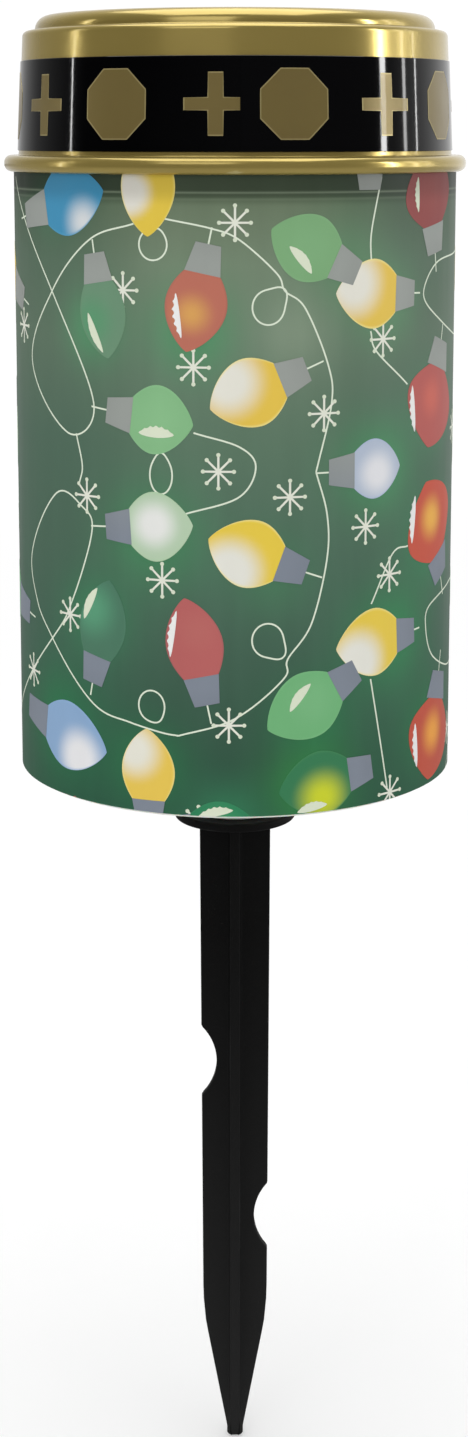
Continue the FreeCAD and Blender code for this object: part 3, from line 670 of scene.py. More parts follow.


# The ground is the print's green with light painted in. The front and back, where the lamp's glow shows
# through the middle of the cup, are painted lighter, and the sides, where the cup turns away, are painted
# in shade. Both ramps grow lighter upwards, partly the print's own green and partly a painted glow of the
# lamp in the lid.
GROUND_HEIGHTS = [0, 10, 25, 45, 65, 82, 95, 106]
GROUND_FRONT_LIT = srgb((46, 88, 68), (50, 86, 68), (64, 97, 79), (79, 110, 92), (93, 121, 100),
                    (106, 129, 108), (116, 135, 112), (106, 122, 98))
GROUND_SIDES_SHADED = srgb((40, 90, 66), (46, 94, 70), (60, 99, 79), (72, 104, 85), (78, 107, 89),
                   (92, 116, 96), (86, 111, 91), (74, 96, 74))
# Soft light printed round the brighter bulbs: (angle, height, reach in mm, tint).
GLOWS = [(-10, 84, 7, (74, 150, 100)), (-37, 84, 6, (80, 150, 104)), (60, 69, 7, (76, 146, 102)),
         (38, 60, 8, (70, 152, 98)), (-20, 49, 8.5, (66, 140, 92)), (-37, 34, 7, (58, 132, 90)),
         (59, 46, 8, (44, 138, 88)), (43, 30, 9, (44, 140, 84)), (20, 17, 7, (46, 122, 78)),
         (-50, 14, 9, (38, 122, 76)), (-22, 9, 7, (42, 122, 76)), (19, 5, 7.5, (52, 142, 70)),
         (60, 12, 8, (34, 122, 72)), (14, 84, 7, (132, 150, 128)), (-52, 105, 6, (76, 120, 92)),
         (-2, 0, 6, (50, 128, 88)),
         (28, 95, 7, (96, 140, 104)), (40, 88, 7, (92, 146, 104)), (9, 43, 7, (74, 126, 92))]


def front_angle(angle):
    """The same picture is printed twice, so an angle is brought within 90 degrees of the front."""
    return np.mod(angle + 90, 180) - 90


SKIRT_FROM, SKIRT_FULL = 104.4, 107.2
RIM_LINES = (106.9, 105.8)  # two thin pale lines, the upper one stronger


def skirt_shade(height, depth=0.68):
    """The lid's skirt stands inside the cup behind the top 4 mm and keeps light out."""
    return 1 - depth * eased(height, SKIRT_FROM, SKIRT_FULL)


def ground_colour(angle, height):
    """The green ground: two upright ramps with painted light, a lighter one for the front and back and a
    shaded one for the sides, plus the glows.
    """
    near = front_angle(angle)
    front = np.stack([np.interp(height, GROUND_HEIGHTS, GROUND_FRONT_LIT[:, k]) for k in range(3)], -1)
    side = np.stack([np.interp(height, GROUND_HEIGHTS, GROUND_SIDES_SHADED[:, k]) for k in range(3)], -1)
    colour = blend(front, side, eased(np.abs(near), 12, 48))
    for glow_angle, glow_height, reach, tint in GLOWS:
        far2 = ((near - glow_angle) * 0.7) ** 2 + (height - glow_height) ** 2
        colour = blend(colour, srgb(*tint), 0.8 * np.exp(-far2 / reach ** 2))
    line = np.exp(-((height - RIM_LINES[0]) / 0.16) ** 2)
    line = line + 0.5 * np.exp(-((height - RIM_LINES[1]) / 0.16) ** 2)
    shade = skirt_shade(height)[..., None]
    shade = shade * np.array([0.9, 1.0, 0.9]) ** (1 - shade)
    return blend(colour * shade, srgb(150, 165, 140), 0.4 * np.clip(line, 0, 1))


print("soft glows on each side:", len(GLOWS))

# %% The film itself
def film_sheet():
    """Outer face as a fine grid that carries the ink, inner face as four rows, closed at both ends."""
    angle = np.concatenate([np.arange(0, OVERLAP + 1), [OVERLAP + 0.04], np.arange(OVERLAP + 1, 360)])
    height = np.concatenate([np.linspace(FILM_START, 104, 176),
                             np.linspace(104.25, FILM_TOP - CUP_BASE, 33)])
    inner = np.linspace(height[-1], height[0], 4)
    outer_points = on_film(angle[None] + 0 * height[:, None], height[:, None] + 0 * angle, 0.0)
    inner_points = on_film(angle[None] + 0 * inner[:, None], inner[:, None] + 0 * angle, -FILM_THICK)
    grid = np.concatenate([outer_points, inner_points])
    rows, columns = grid.shape[:2]
    tall = np.concatenate([height, inner])[:, None] + 0 * angle
    colours = ground_colour(angle[None] + 0 * tall, tall)
    return grid.reshape(-1, 3), grid_faces(rows, columns, True, True), colours.reshape(-1, 3)


points, faces, colours = film_sheet()
film = finish_mesh("film_wrap", points, faces, colours)
film.data.materials.append(printed_film)
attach(film, "lantern")
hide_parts("printed_sleeve")

# %% [markdown]
# ### Printed shapes
# A printed shape is a thin closed sheet that hugs the film. Its outline is worked out flat, in
# millimetres across and up, then laid on the film. A bulb or a cap is a strip of rows from one end
# to the other; a snowflake or a dot is a set of rings round its middle. The underside of each sheet
# is just inside the film's face, so no edge floats. What is drawn over something else lies higher.

# %% From a flat outline to a sheet on the film
INK_UNDER = -0.05
STRING_LIFT, FLAKE_LIFT, DOT_LIFT, BULB_LIFT, CAP_LIFT, STREAK_LIFT = 0.02, 0.03, 0.036, 0.045, 0.07, 0.085
INK_SHADE = 0.2  # how much the skirt darkens the shapes, less than the ground


def lay(anchor, across, up, lift, colour):
    """Flat (across, up) arrays in mm round an anchor (degrees, mm), laid on at a lift, as a closed sheet.

    Each row goes over the top and back underneath, and both end rows are pinched shut.
    """
    angle, height = anchor[0] + np.degrees(across / FILM_R), anchor[1] + up
    over, under = on_film(angle, height, lift), on_film(angle, height, INK_UNDER)
    ring = np.concatenate([over, under[:, ::-1]], axis=1)
    shut = np.concatenate([under, under[:, ::-1]], axis=1)
    grid = np.concatenate([shut[:1], ring, shut[-1:]])
    shaded = colour * skirt_shade(height, INK_SHADE)[..., None]
    inks = np.concatenate([shaded, shaded[:, ::-1]], axis=1)
    inks = np.concatenate([inks[:1], inks, inks[-1:]])
    return grid.reshape(-1, 3), grid_faces(*grid.shape[:2], wrap_columns=True), inks.reshape(-1, 3)


def lay_rings(anchor, across, up, lift, colour):
    """The same for rings round a middle point: rings outwards on top, then back inwards underneath."""
    angle, height = anchor[0] + np.degrees(across / FILM_R), anchor[1] + up
    over, under = on_film(angle, height, lift), on_film(angle, height, INK_UNDER)
    grid = np.concatenate([over, under[::-1]])
    shaded = colour * skirt_shade(height, INK_SHADE)[..., None]
    inks = np.concatenate([shaded, shaded[::-1]])
    return grid.reshape(-1, 3), grid_faces(*grid.shape[:2], wrap_columns=True), inks.reshape(-1, 3)


def pointed(along, across, direction):
    """A shape drawn along the x axis, turned to its direction in degrees."""
    a = radians(direction)
    return along * np.cos(a) - across * np.sin(a), along * np.sin(a) + across * np.cos(a)


print("one degree of the film is", round(FILM_R * np.pi / 180, 3), "mm")

# %% The outline of a bulb
HALF_NECK, WIDEST = 2.8, 0.42


def bulb_outline(length, half):
    """Rows from the neck to the tip, as distances along and across, and each point's share of the way out.

    Half width: a quarter sine from the neck up to the widest place, at WIDEST of the length, then
    (1 - q ** 1.9) ** 0.8 down to the tip, where q runs from 0 to 1.
    """
    t = (1 - np.cos(np.pi * np.linspace(0, 1, 30))) / 2
    s = np.sin(np.pi / 2 * np.linspace(-1, 1, 23))
    rise = HALF_NECK + (half - HALF_NECK) * np.sin(np.pi / 2 * np.clip(t / WIDEST, 0, 1)) ** 0.85
    q = np.clip((t - WIDEST) / (1 - WIDEST), 0, 1)
    wide = np.where(t < WIDEST, rise, half * (1 - q ** 1.9) ** 0.8)
    return (t * length)[:, None] + 0 * s, wide[:, None] * s, np.abs(s)[None] + 0 * t[:, None]


print("a bulb has", bulb_outline(13, 6)[0].size, "points on its face")

# %% Bulb colours
# Each style is (edge colour, core colour, core place in mm from the bulb's middle, inner and outer
# reach of the core in mm, rim colour).
STYLES = {
    "yellow high": ((229, 194, 78), (230, 228, 216), (-3.6, 1.8), (2.2, 7.6), (240, 226, 150)),
    "yellow low": ((232, 202, 72), (230, 229, 219), (-3.2, -3.2), (2.6, 7.4), (240, 226, 150)),
    "yellow top": ((226, 196, 72), (226, 223, 212), (-3.4, -0.6), (2.2, 5.2), (234, 218, 130)),
    "leaf": ((133, 186, 134), (137, 190, 138), (0, 0), (1, 6), (140, 192, 142)),
    "leaf right": ((125, 172, 122), (128, 176, 126), (0, 0), (1, 6), (132, 178, 130)),
    "leaf low": ((113, 180, 122), (120, 184, 128), (1, 1), (1, 6), (122, 186, 130)),
    "glow green": ((182, 206, 176), (231, 232, 228), (-0.5, 0.3), (1.4, 5.4), (176, 206, 168)),
    "blue white": ((178, 190, 208), (226, 227, 231), (0.4, -0.8), (1.2, 5.2), (170, 186, 214)),
    "blue high": ((62, 144, 184), (214, 218, 220), (3.6, -3.6), (0.3, 5.6), (80, 156, 194)),
    "blue low": ((138, 170, 206), (232, 232, 234), (2.6, -3.6), (2.0, 7.0), (140, 176, 214)),
    "ember": ((188, 112, 94), (218, 162, 90), (-0.6, -1.0), (0.2, 4.6), (172, 108, 94)),
    "ember right": ((202, 84, 62), (238, 178, 74), (-0.8, 1.0), (0.6, 5.4), (196, 84, 66)),
    "ember foot": ((196, 82, 60), (238, 162, 62), (-0.2, 0.6), (0.6, 5.6), (188, 82, 64)),
    "red": ((184, 99, 97), (186, 104, 100), (0.5, 2), (0.5, 5), (164, 98, 98)),
    "red right": ((186, 92, 86), (208, 104, 90), (-1, 1), (0.5, 5), (174, 90, 84)),
    "red top": ((148, 70, 68), (152, 74, 70), (0, 0), (1, 5), (150, 76, 72)),
    "pine high": ((108, 146, 117), (92, 152, 112), (-2.2, -1.0), (0.5, 6.0), (108, 144, 114)),
    "pine low": ((76, 122, 98), (88, 156, 120), (-2.2, 2.4), (0.5, 7.0), (80, 128, 102)),
    "lime": ((56, 126, 84), (204, 212, 44), (0.6, -2.4), (0.8, 6.2), (70, 138, 90)),
    "leaf foot": ((44, 130, 88), (60, 148, 100), (0, 2), (0.5, 5), (56, 140, 96)),
    "yellow foot": ((232, 198, 84), (232, 230, 216), (-2.4, 3.0), (1.6, 6.4), (240, 222, 140)),
}


def bulb_ink(style, u, v, edge_share):
    """Core blended into edge by distance from the core's place, then a thin rim."""
    edge, core, (core_u, core_v), (inner, outer), rim = STYLES[style]
    far = np.hypot(u - core_u, v - core_v)
    colour = blend(srgb(*edge) + 0 * far[..., None], srgb(*core), 1 - eased(far, inner, outer))
    return blend(colour, srgb(*rim), 0.8 * eased(edge_share, 0.93, 0.99))


print("bulb styles:", len(STYLES))

# %% Caps, streaks and glass
CAP_HIGH, CAP_LOW = srgb(152, 157, 152), srgb(127, 135, 147)


def cap_size(spot, direction, half):
    """Half width at the bulb and length. A cap is broad on a broad bulb, and long near the sides."""
    level = abs(np.cos(np.radians(direction))) > 0.8
    beside = abs(front_angle(spot[0])) > 52
    return max(3.1, 0.5 * half), 8.5 if level and beside else 5.0


def cap_sheet(spot, direction, half, length):
    """A screw cap: a trapezoid whose far end is 0.7 of its width at the bulb, a little shaded."""
    t = np.linspace(0, 1, 12)
    s = np.linspace(-1, 1, 9)
    along = (-t * length + 0.3)[:, None] + 0 * s
    across = (half * (1 - 0.3 * t))[:, None] * s
    u, v = pointed(along, across, direction)
    tone = blend(CAP_LOW, CAP_HIGH, eased(spot[1] + v, 45, 70))
    tone = tone * (1 + 0.03 * np.cos(t * 4 - 1))[:, None, None]
    return lay(spot, u, v, CAP_LIFT, tone)


def streak_sheet(middle, tilt, length, width, colour, jagged):
    """A reflection printed on a bulb: a bent lens shape. Jagged, 0 to 1, makes one side ragged."""
    t = np.linspace(0, 1, 30)
    s = np.linspace(-1, 1, 5)
    half = width / 2 * np.sin(np.pi * t) ** 0.7
    side = np.where(s[None] > 0, 1 - jagged * np.abs(np.sin(19 * t))[:, None], 1 - 0.5 * jagged)
    along = ((t - 0.5) * length)[:, None] + 0 * s
    across = half[:, None] * s * side + (0.35 * np.cos(np.pi * (t - 0.5)))[:, None]
    u, v = pointed(along, across, tilt)
    return lay(middle, u, v, STREAK_LIFT, srgb(*colour) + 0 * u[..., None])


def bulb_sheet(spot, direction, length, half, style):
    """The glass of a bulb: its outline laid on the film, coloured by distance from the bulb's middle."""
    along, across, edge_share = bulb_outline(length, half)
    u, v = pointed(along, across, direction)
    centre_u, centre_v = pointed(0.45 * length, 0.0, direction)
    return lay(spot, u, v, BULB_LIFT, bulb_ink(style, u - centre_u, v - centre_v, edge_share))


print("a cap in the middle and one at the side:", cap_size((0, 50), 0, 6), cap_size((60, 50), 0, 6), "mm")

# %% [markdown]
# ### The layout of the print
# Each bulb is (angle, height, direction of its tip, length, half width, style). Its cap sits behind
# it, and for most bulbs a short lead, whose length is given by the bulb's number, runs on from the
# cap to the nearest string. The same lists serve the front and, half a turn on, the back.

# %% Bulbs
BULBS = [
    (-54.5, 104, 12, 15, 6.0, "blue high"), (-21.3, 113.8, -90, 14.2, 4.9, "yellow top"),
    (-35.4, 92, -81, 13.2, 4.8, "pine high"), (-7.7, 93.9, -102, 13.6, 5.3, "ember"),
    (-26.3, 69.6, -7, 11.4, 5.9, "leaf"), (11.3, 75.9, -158, 13, 5.9, "yellow high"),
    (24.9, 95.4, 154, 12.6, 5.7, "leaf right"), (43.6, 89.6, 178, 13, 5.9, "yellow high"),
    (59.5, 100.6, 99, 13.3, 8.2, "red top"), (63.5, 76.1, -106, 14.6, 9.2, "red right"),
    (30.1, 59.9, 0, 10.6, 5.2, "blue white"), (-80, 90.2, 162, 13, 5.4, "yellow high"),
    (-26.8, 50.4, 4, 11.6, 6.0, "glow green"), (-36.9, 26.7, 78, 14.3, 5.0, "pine low"),
    (-8.2, 24.8, 102, 14.2, 5.0, "red"), (-57.4, 12.7, -9, 16.6, 6.2, "blue low"),
    (-22, 2.4, 91, 13, 5.0, "yellow foot"), (11.1, 44.6, 160, 13, 5.9, "yellow low"),
    (65.0, 42.2, 112, 14.8, 9.2, "ember right"), (45.3, 29.8, -177, 13.7, 6.0, "yellow low"),
    (25.8, 22.7, -151, 14.2, 5.9, "leaf low"), (65.5, 15.9, -104, 15, 9.2, "ember foot"),
    (-79, 32.4, 172, 13, 5.4, "leaf low"), (30.0, 6.6, -171, 13.5, 5.8, "lime"),
    (-11.5, -2.2, 0, 12.5, 5.5, "leaf foot"), (-45, -12.2, 90, 13, 5.2, "red"),
    (34.4, 111.9, 90, 8, 5, "red top"), (92, 68, -97, 13.5, 5.4, "glow green")]
LEADS = {0: 3, 2: 2.5, 3: 3, 4: 3.5, 5: 3.4, 7: 2.0, 8: 3.5, 9: 3, 10: 2.4, 11: 3, 12: 3.5, 13: 2.5,
         14: 3.5, 17: 3.4, 18: 4, 19: 2.0, 21: 4, 22: 3, 27: 4}
WHITE, CREAM = (238, 238, 236), (220, 228, 204)
# Streaks: (angle, height, tilt, length, width, colour, raggedness).
STREAKS = [
    (-13.6, 86.6, 97, 7.6, 1.7, WHITE, 0.6), (-36.2, 83.2, 116, 7.4, 1.5, CREAM, 0.1),
    (-19.4, 66.6, -2, 6.4, 2.3, CREAM, 0.3), (15.8, 95.8, -50, 6.0, 1.8, CREAM, 0.1),
    (50.6, 69.4, 96, 8.2, 1.9, WHITE, 0.5), (-38.6, 36.2, 62, 6.6, 1.7, CREAM, 0.1),
    (-15.2, 32.4, 82, 8.2, 1.6, WHITE, 0.5), (51.2, 49.8, 84, 8.4, 2.0, WHITE, 0.5),
    (16.2, 21.2, 52, 6.0, 1.7, CREAM, 0.1), (-4.8, 1.1, 12, 6.2, 1.9, CREAM, 0.3),
    (19.5, 1.4, 10, 5.6, 1.8, CREAM, 0.2), (51.6, 106.2, 92, 6.0, 1.6, CREAM, 0.4),
    (53.6, 8.8, 95, 8.2, 2.0, WHITE, 0.5)]
print(len(BULBS), "bulbs,", len(LEADS), "leads and", len(STREAKS), "streaks on each side")

# %% Snowflakes
FLAKES = [(-69, 83), (-28, 90.6), (-10, 78), (0, 102), (-4, 60.5), (39, 82), (22, 70), (-39.5, 55),
          (-18, 41.6), (-46, 33.5), (-65, 21), (-1.5, 16.7), (13.4, 56), (34, 50), (42, 41), (43, 1.8),
          (-9.0, -0.6), (80, 64), (78, 8), (93, 47)]


FLAKE_R, HALF_ARM = 2.6, 0.18


def flake_sheets(spot):
    """Eight arms and eight dots. The arms' outline is min(arm length, half width / sin(angle to arm))."""
    step = np.array([-22.5, -12.0, -3.8, 0.0, 3.8, 12.0])
    a = np.radians((np.arange(8)[:, None] * 45 + step).ravel())
    off = np.radians(np.abs(np.tile(step, 8)))
    reach = np.minimum(FLAKE_R, HALF_ARM / np.maximum(np.sin(off), 1e-3))
    reach = reach * (1 + 0.08 * np.abs(np.sin(a)))
    share = np.array([0.0, 0.25, 1.0])[:, None]
    white = srgb(228, 230, 216) + np.zeros((3, len(a), 1))
    parts = [lay_rings(spot, share * reach * np.cos(a), share * reach * np.sin(a), FLAKE_LIFT, white)]
    ring = np.radians(np.arange(0, 360, 45))
    for arm in ring:
        far = 2.62 * (1 + 0.08 * abs(np.sin(arm)))
        disc = np.array([0.0, 0.37])[:, None]
        across, up = far * np.cos(arm) + disc * np.cos(ring), far * np.sin(arm) + disc * np.sin(ring)
        dot = srgb(216, 224, 202) + np.zeros((2, len(ring), 1))
        parts.append(lay_rings(spot, across, up, DOT_LIFT, dot))
    return parts


print(len(FLAKES), "snowflakes on each side")

# %% Strings
STRINGS = [
    [(-77, 108.9), (-52, 89.7), (-37, 71.2), (-46, 65.5), (-63, 77.1), (-52, 89.7), (-38, 98.8),
     (-25, 101.7)],
    [(-17, 102.6), (-6, 101.1), (1, 99.2), (10, 93.6), (12, 90.7), (17, 87.8), (23, 78.2), (24, 71.7),
     (20, 60.1)],
    [(20, 60.1), (23, 52.6), (23, 45), (19, 34), (13, 28.1), (12, 24.7), (0, 17.9), (-14, 14.6)],
    [(-26, 16), (-38, 18.4), (-54, 28.5), (-62, 34.3), (-65, 42.6), (-51, 54.6), (-41, 52.9), (-38, 48.8),
     (-45, 36.3), (-54, 28.2), (-84, 10.3), (-96, 4.5), (-104, 0.2)],
    [(-43, 65.6), (-41, 60.2), (-42, 57.2)],
    [(-10, 67), (1, 64.7), (5, 61.3), (1, 56.2), (-12, 53.2)],
    [(38, 109.3), (35, 100.2), (35, 95.2)],
    [(35, 83.5), (37, 79.9), (48, 73.8)],
    [(88, 96), (77, 95.4), (62, 94.4), (55, 90.3), (57, 86.9), (70, 82.6), (84, 80.6), (94, 82.5), (97, 89),
     (93, 94.5), (84, 96)],
    [(49, 45.4), (43, 44.5), (36, 36.3)],
    [(36, 23), (42, 2.7)],
    [(86, 35.4), (76, 35.6), (60, 33.5), (58, 29.5), (62, 24.1), (74, 20.6), (86, 20.2), (91, 22),
     (91.5, 26), (91, 33), (84, 35.6)],
    [(-14, 14.6), (-18, 14.9), (-26, 16)]]
# Loops: (angle, height, half width, half height, turn of the drawn-out end, share it adds).
LOOPS = [(-20, 98.3, 2.5, 2.6, 20, 0.1), (-21, 19.5, 2.4, 2.7, 150, 0.15), (-18.2, 59.6, 2.0, 3.2, 0, 0.2),
         (8, 88, 2.7, 2.9, 45, 0.45), (8, 31.5, 2.7, 2.9, 135, 0.45)]
STRING_INK = srgb(222, 232, 212)


def curve_through(stops):
    """Catmull-Rom: between two stops, the cubic whose slope at a stop is half the step across it."""
    stops = np.array(stops, float)
    stops = np.vstack([2 * stops[0] - stops[1], stops, 2 * stops[-1] - stops[-2]])
    a, b, c, d = (stops[k:len(stops) - 3 + k, None] for k in range(4))
    t = np.linspace(0, 1, 14, endpoint=False)[None, :, None]
    bend, twist = 2 * a - 5 * b + 4 * c - d, 3 * b - a - 3 * c + d
    path = b + ((c - a) * t + bend * t ** 2 + twist * t ** 3) / 2
    return np.vstack([path.reshape(-1, 2), stops[-2:-1]])


def string_sheet(path, half=0.145):
    """A ribbon: each point of the path steps sideways by half the width, square to the path."""
    slope = np.gradient(path, axis=0)
    slope /= np.linalg.norm(slope, axis=1, keepdims=True)
    side = np.stack([-slope[:, 1], slope[:, 0]], -1)
    edges = path[:, None] + side[:, None] * np.array([-half, half])[None, :, None]
    return lay((0, 0), edges[..., 0], edges[..., 1], STRING_LIFT, STRING_INK + 0 * edges[..., :1])


ARC = FILM_R * np.pi / 180


def flat(spot):
    """Degrees and mm, as mm across and up."""
    return spot[0] * ARC, spot[1]


print(len(STRINGS), "strings and", len(LOOPS), "loops on each side")

# %% Lay the whole print, on the front and again on the back
string_parts, flake_parts, bulb_parts, cap_parts = [], [], [], []
for half_turn in (0, 180):
    for stops in STRINGS:
        string_parts.append(string_sheet(curve_through([flat((a + half_turn, z)) for a, z in stops])))
    for a, z, wide, tall, end, more in LOOPS:
        past_end = np.linspace(0, 2 * np.pi, 61)
        turn = past_end + np.radians(end)
        out = 1 + more * np.exp(-((1 - np.cos(past_end)) / 0.12))
        oval = np.stack([wide * out * np.sin(turn), tall * out * np.cos(turn)], -1)
        string_parts.append(string_sheet(np.array(flat((a + half_turn, z))) + oval))
    for a, z in FLAKES:
        flake_parts += flake_sheets((a + half_turn, z))
    for number, (a, z, direction, length, half, style) in enumerate(BULBS):
        spot = (a + half_turn, z)
        bulb_parts.append(bulb_sheet(spot, direction, length, half, style))
        cap_half, cap_long = cap_size(spot, direction, half)
        cap_parts.append(cap_sheet(spot, direction, cap_half, cap_long))
        if number in LEADS:
            far = cap_long - 0.5 + np.linspace(0, LEADS[number], 4)
            u, v = pointed(-far, 0 * far, direction)
            string_parts.append(string_sheet(np.stack([u, v], -1) + flat(spot)))
    for a, z, tilt, length, width, colour, jagged in STREAKS:
        bulb_parts.append(streak_sheet((a + half_turn, z), tilt, length, width, colour, jagged))
FILM_EDGES = (CUP_BASE + FILM_START + 0.02, FILM_TOP - 0.02)
for name, parts in (("print_strings", string_parts), ("print_snowflakes", flake_parts),
                    ("print_bulbs", bulb_parts), ("print_caps", cap_parts)):
    points, faces, colours = joined(parts)
    layer = finish_mesh(name, points, faces, colours, trim=FILM_EDGES)
    layer.data.materials.append(printed_shapes)
    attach(layer, "lantern")

# %% [markdown]
# ## The lid
# The lid is one turned moulding: a rolled bead that hangs outside the cup's rim, a wall that leans
# in a little, a shelf, a raised ring and a round recess for the panel. As on the cup, its profile is
# rounded corner by corner and carried round. Inside, three posts take the screws of the plate.

# %% Lid moulding
LIP_TOP = LIP_LOW + 2.9
GROOVE_TOP = CUP_RIM + 0.7
SHELF_Z = LIP_LOW + 24.65
DECK_FLOOR = LID_TOP - 2.1
DECK_UNDER = DECK_FLOOR - 1.4
POST_FOOT = SKIRT_LOW + 2.7
WALL_R, WALL_LEAN, LIP_INSIDE = 39.1, 0.95, 40.25
SKIRT_R, SKIRT_INSIDE = 37.9, 36.4
RING_R, RECESS_R = 35.9, 31.0
POST_AT, POST_R = 31, 3.0


def wall_radius(height):
    """The wall leans in by WALL_LEAN from the bead up to where the shelf's rounding starts."""
    return WALL_R - WALL_LEAN * (height - LIP_TOP) / (SHELF_Z - 1.0 - LIP_TOP)


lid_profile = rounded([
    (0, DECK_UNDER, 0), (32.3, DECK_UNDER, 0.8), (34.3, SHELF_Z - 1.6, 0.5), (36.55, SHELF_Z - 1.6, 0.5),
    (37.5, LIP_TOP + 0.6, 0.3), (SKIRT_INSIDE, GROOVE_TOP - 0.2, 0.3), (SKIRT_INSIDE, SKIRT_LOW, 0.3),
    (SKIRT_R, SKIRT_LOW, 0.5), (SKIRT_R, GROOVE_TOP, 0.1), (LIP_INSIDE, GROOVE_TOP, 0.1),
    (LIP_INSIDE, LIP_LOW, 0.3), (LIP_R, LIP_LOW, 1.3), (LIP_R, LIP_TOP, 1.3), (WALL_R, LIP_TOP, 0.25),
    (wall_radius(SHELF_Z), SHELF_Z, 1.0), (RING_R, SHELF_Z + 0.05, 0.3), (RING_R, LID_TOP, 2.5),
    (RECESS_R, LID_TOP, 0.4), (RECESS_R, DECK_FLOOR, 0.2), (0, DECK_FLOOR, 0)], closed=False, steps=10)


def screw_post(turn):
    """A post under the deck, POST_AT from the axis."""
    profile = rounded([(0, POST_FOOT, 0), (POST_R, POST_FOOT, 0.2), (POST_R, DECK_UNDER + 0.3, 0),
                       (0, DECK_UNDER + 0.3, 0)], closed=False)
    points, faces = turned_part(profile, False, 40)[:2]
    return points + [POST_AT * np.cos(radians(turn)), POST_AT * np.sin(radians(turn)), 0], faces, None


lid_parts = [turned_part(lid_profile, False, 320)] + [screw_post(turn) for turn in (90, 210, 330)]
points, faces = joined(lid_parts)[:2]
lid = finish_mesh("lid_moulding", points, faces)
lid.data.materials.append(gold_lacquer)
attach(lid, "lid")
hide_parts("lid_shell")

# %% [markdown]
# ## The black band
# A printed foil goes round the wall and laps over itself at the front. It is black with clear
# windows, alternately a cross and an eight-sided figure, that show gold with a thin bright line
# round each. The foil is a ring whose radius steps at the lap, and the windows are thin sheets on
# it, with outlines given as a distance from the middle for each direction.

# %% Foil
LAP = 1.3  # degrees to the right of the front
LAP_STEP, LAP_FADE = 0.12, 12
FOIL_THICK, FOIL_EDGE = 0.21, 0.06
BAND_MIDDLE = (BAND_LOW + BAND_HIGH) / 2


def band_radius(angle, height):
    """The wall plus the foil, and LAP_STEP more just past the lap, gone after LAP_FADE degrees."""
    past = np.mod(angle - LAP, 360)
    return wall_radius(height) + FOIL_THICK + LAP_STEP * np.clip(1 - past / LAP_FADE, 0, 1)


def on_band(angle, height, lift):
    """Angle in degrees from the front and height over the ground, as x, y, z."""
    r, a = band_radius(angle, height) + lift, np.radians(angle)
    return np.stack([r * np.sin(a), -r * np.cos(a), height], -1)


angle = np.concatenate([[0.0, LAP - 0.04, LAP + 0.01], np.arange(2.0, 360)])
height = np.array([BAND_LOW, BAND_LOW + FOIL_EDGE, BAND_LOW + 4, BAND_MIDDLE, BAND_HIGH - 4,
                   BAND_HIGH - FOIL_EDGE, BAND_HIGH])[:, None]
round_off = np.array([-FOIL_EDGE, 0, 0, 0, 0, 0, -FOIL_EDGE])[:, None]
outer = on_band(angle + 0 * height, height + 0 * angle, round_off)
spin = np.radians(angle)
inner_r = (wall_radius(height[::-1]) + 0.01) + 0 * angle
inner = np.stack([inner_r * np.sin(spin), -inner_r * np.cos(spin), height[::-1] + 0 * angle], -1)
grid = np.concatenate([outer, inner])
band = finish_mesh("band_foil", grid.reshape(-1, 3), grid_faces(*grid.shape[:2], True, True), sharp_over=20)
band.data.materials.append(black_foil)
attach(band, "lid")
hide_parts("lid_band")


# %% Window outlines
HALF_OCTAGON = 5.7
UPRIGHT_BAR, LEVEL_BAR = (1.22, 5.05), (5.2, 1.0)  # half width and half height of each


def octagon(a):
    """Eight equal sides: half the width across / cos(angle to the nearest flat)."""
    off = np.mod(a + 22.5, 45) - 22.5
    return HALF_OCTAGON / np.cos(np.radians(off))


def cross(a):
    """Two crossed bars: the farther of the two places where a ray from the middle leaves a bar."""
    c = np.maximum(np.abs(np.cos(np.radians(a))), 1e-6)
    s = np.maximum(np.abs(np.sin(np.radians(a))), 1e-6)
    upright = np.minimum(UPRIGHT_BAR[0] / c, UPRIGHT_BAR[1] / s)
    level = np.minimum(LEVEL_BAR[0] / c, LEVEL_BAR[1] / s)
    return np.maximum(upright, level)


# Turns at which the cross is drawn: its corners and a few between them.
CORNERS_UP = [LEVEL_BAR[1], LEVEL_BAR[1], UPRIGHT_BAR[1]]
CORNERS_OUT = [LEVEL_BAR[0], UPRIGHT_BAR[0], UPRIGHT_BAR[0]]
CROSS_END, CROSS_CORNER, CROSS_TOP = np.degrees(np.arctan2(CORNERS_UP, CORNERS_OUT))
CROSS_TURNS = np.array([0, CROSS_END / 2, CROSS_END, 14, 18, 25, CROSS_CORNER, 55, CROSS_TOP, 83])
OCTAGON_TURNS = np.arange(0, 90, 11.25)
BAND_R = 38.8  # its mean radius, which turns mm across into degrees
FACE_LIFT, LINE_LIFT, SHEET_UNDER = 0.025, 0.045, -0.05
LINE_EDGES = np.array([-0.04, 0.16])[:, None]  # the line, in and out from the window's outline


def window_sheets(turn, kind, cut=False):
    """The gold face of one window and the bright line round it; a window that is cut ends at the lap."""
    base = CROSS_TURNS if kind == "cross" else OCTAGON_TURNS
    a = np.concatenate([base, 180 - base[::-1], 180 + base, 360 - base[::-1]])
    a = np.unique(np.round(np.mod(a, 360), 4))
    reach = cross(a) if kind == "cross" else octagon(a)
    c, s = np.cos(np.radians(a)), np.sin(np.radians(a))
    face_rows, line_rows = np.linspace(0, 1, 8)[:, None] * reach, LINE_EDGES + reach
    parts = []
    for radius, lift, hollow in ((face_rows, FACE_LIFT, False), (line_rows, LINE_LIFT, True)):
        place = turn + np.degrees(radius * c / BAND_R)
        if cut:
            place = np.minimum(place, LAP - 0.06)
        height = BAND_MIDDLE + radius * s
        grid = np.concatenate([on_band(place, height, lift), on_band(place, height, SHEET_UNDER)[::-1]])
        faces = grid_faces(*grid.shape[:2], wrap_rows=hollow, wrap_columns=True)
        parts.append((grid.reshape(-1, 3), faces, None))
    return parts


print("a cross is drawn through", 4 * len(CROSS_TURNS), "turns")

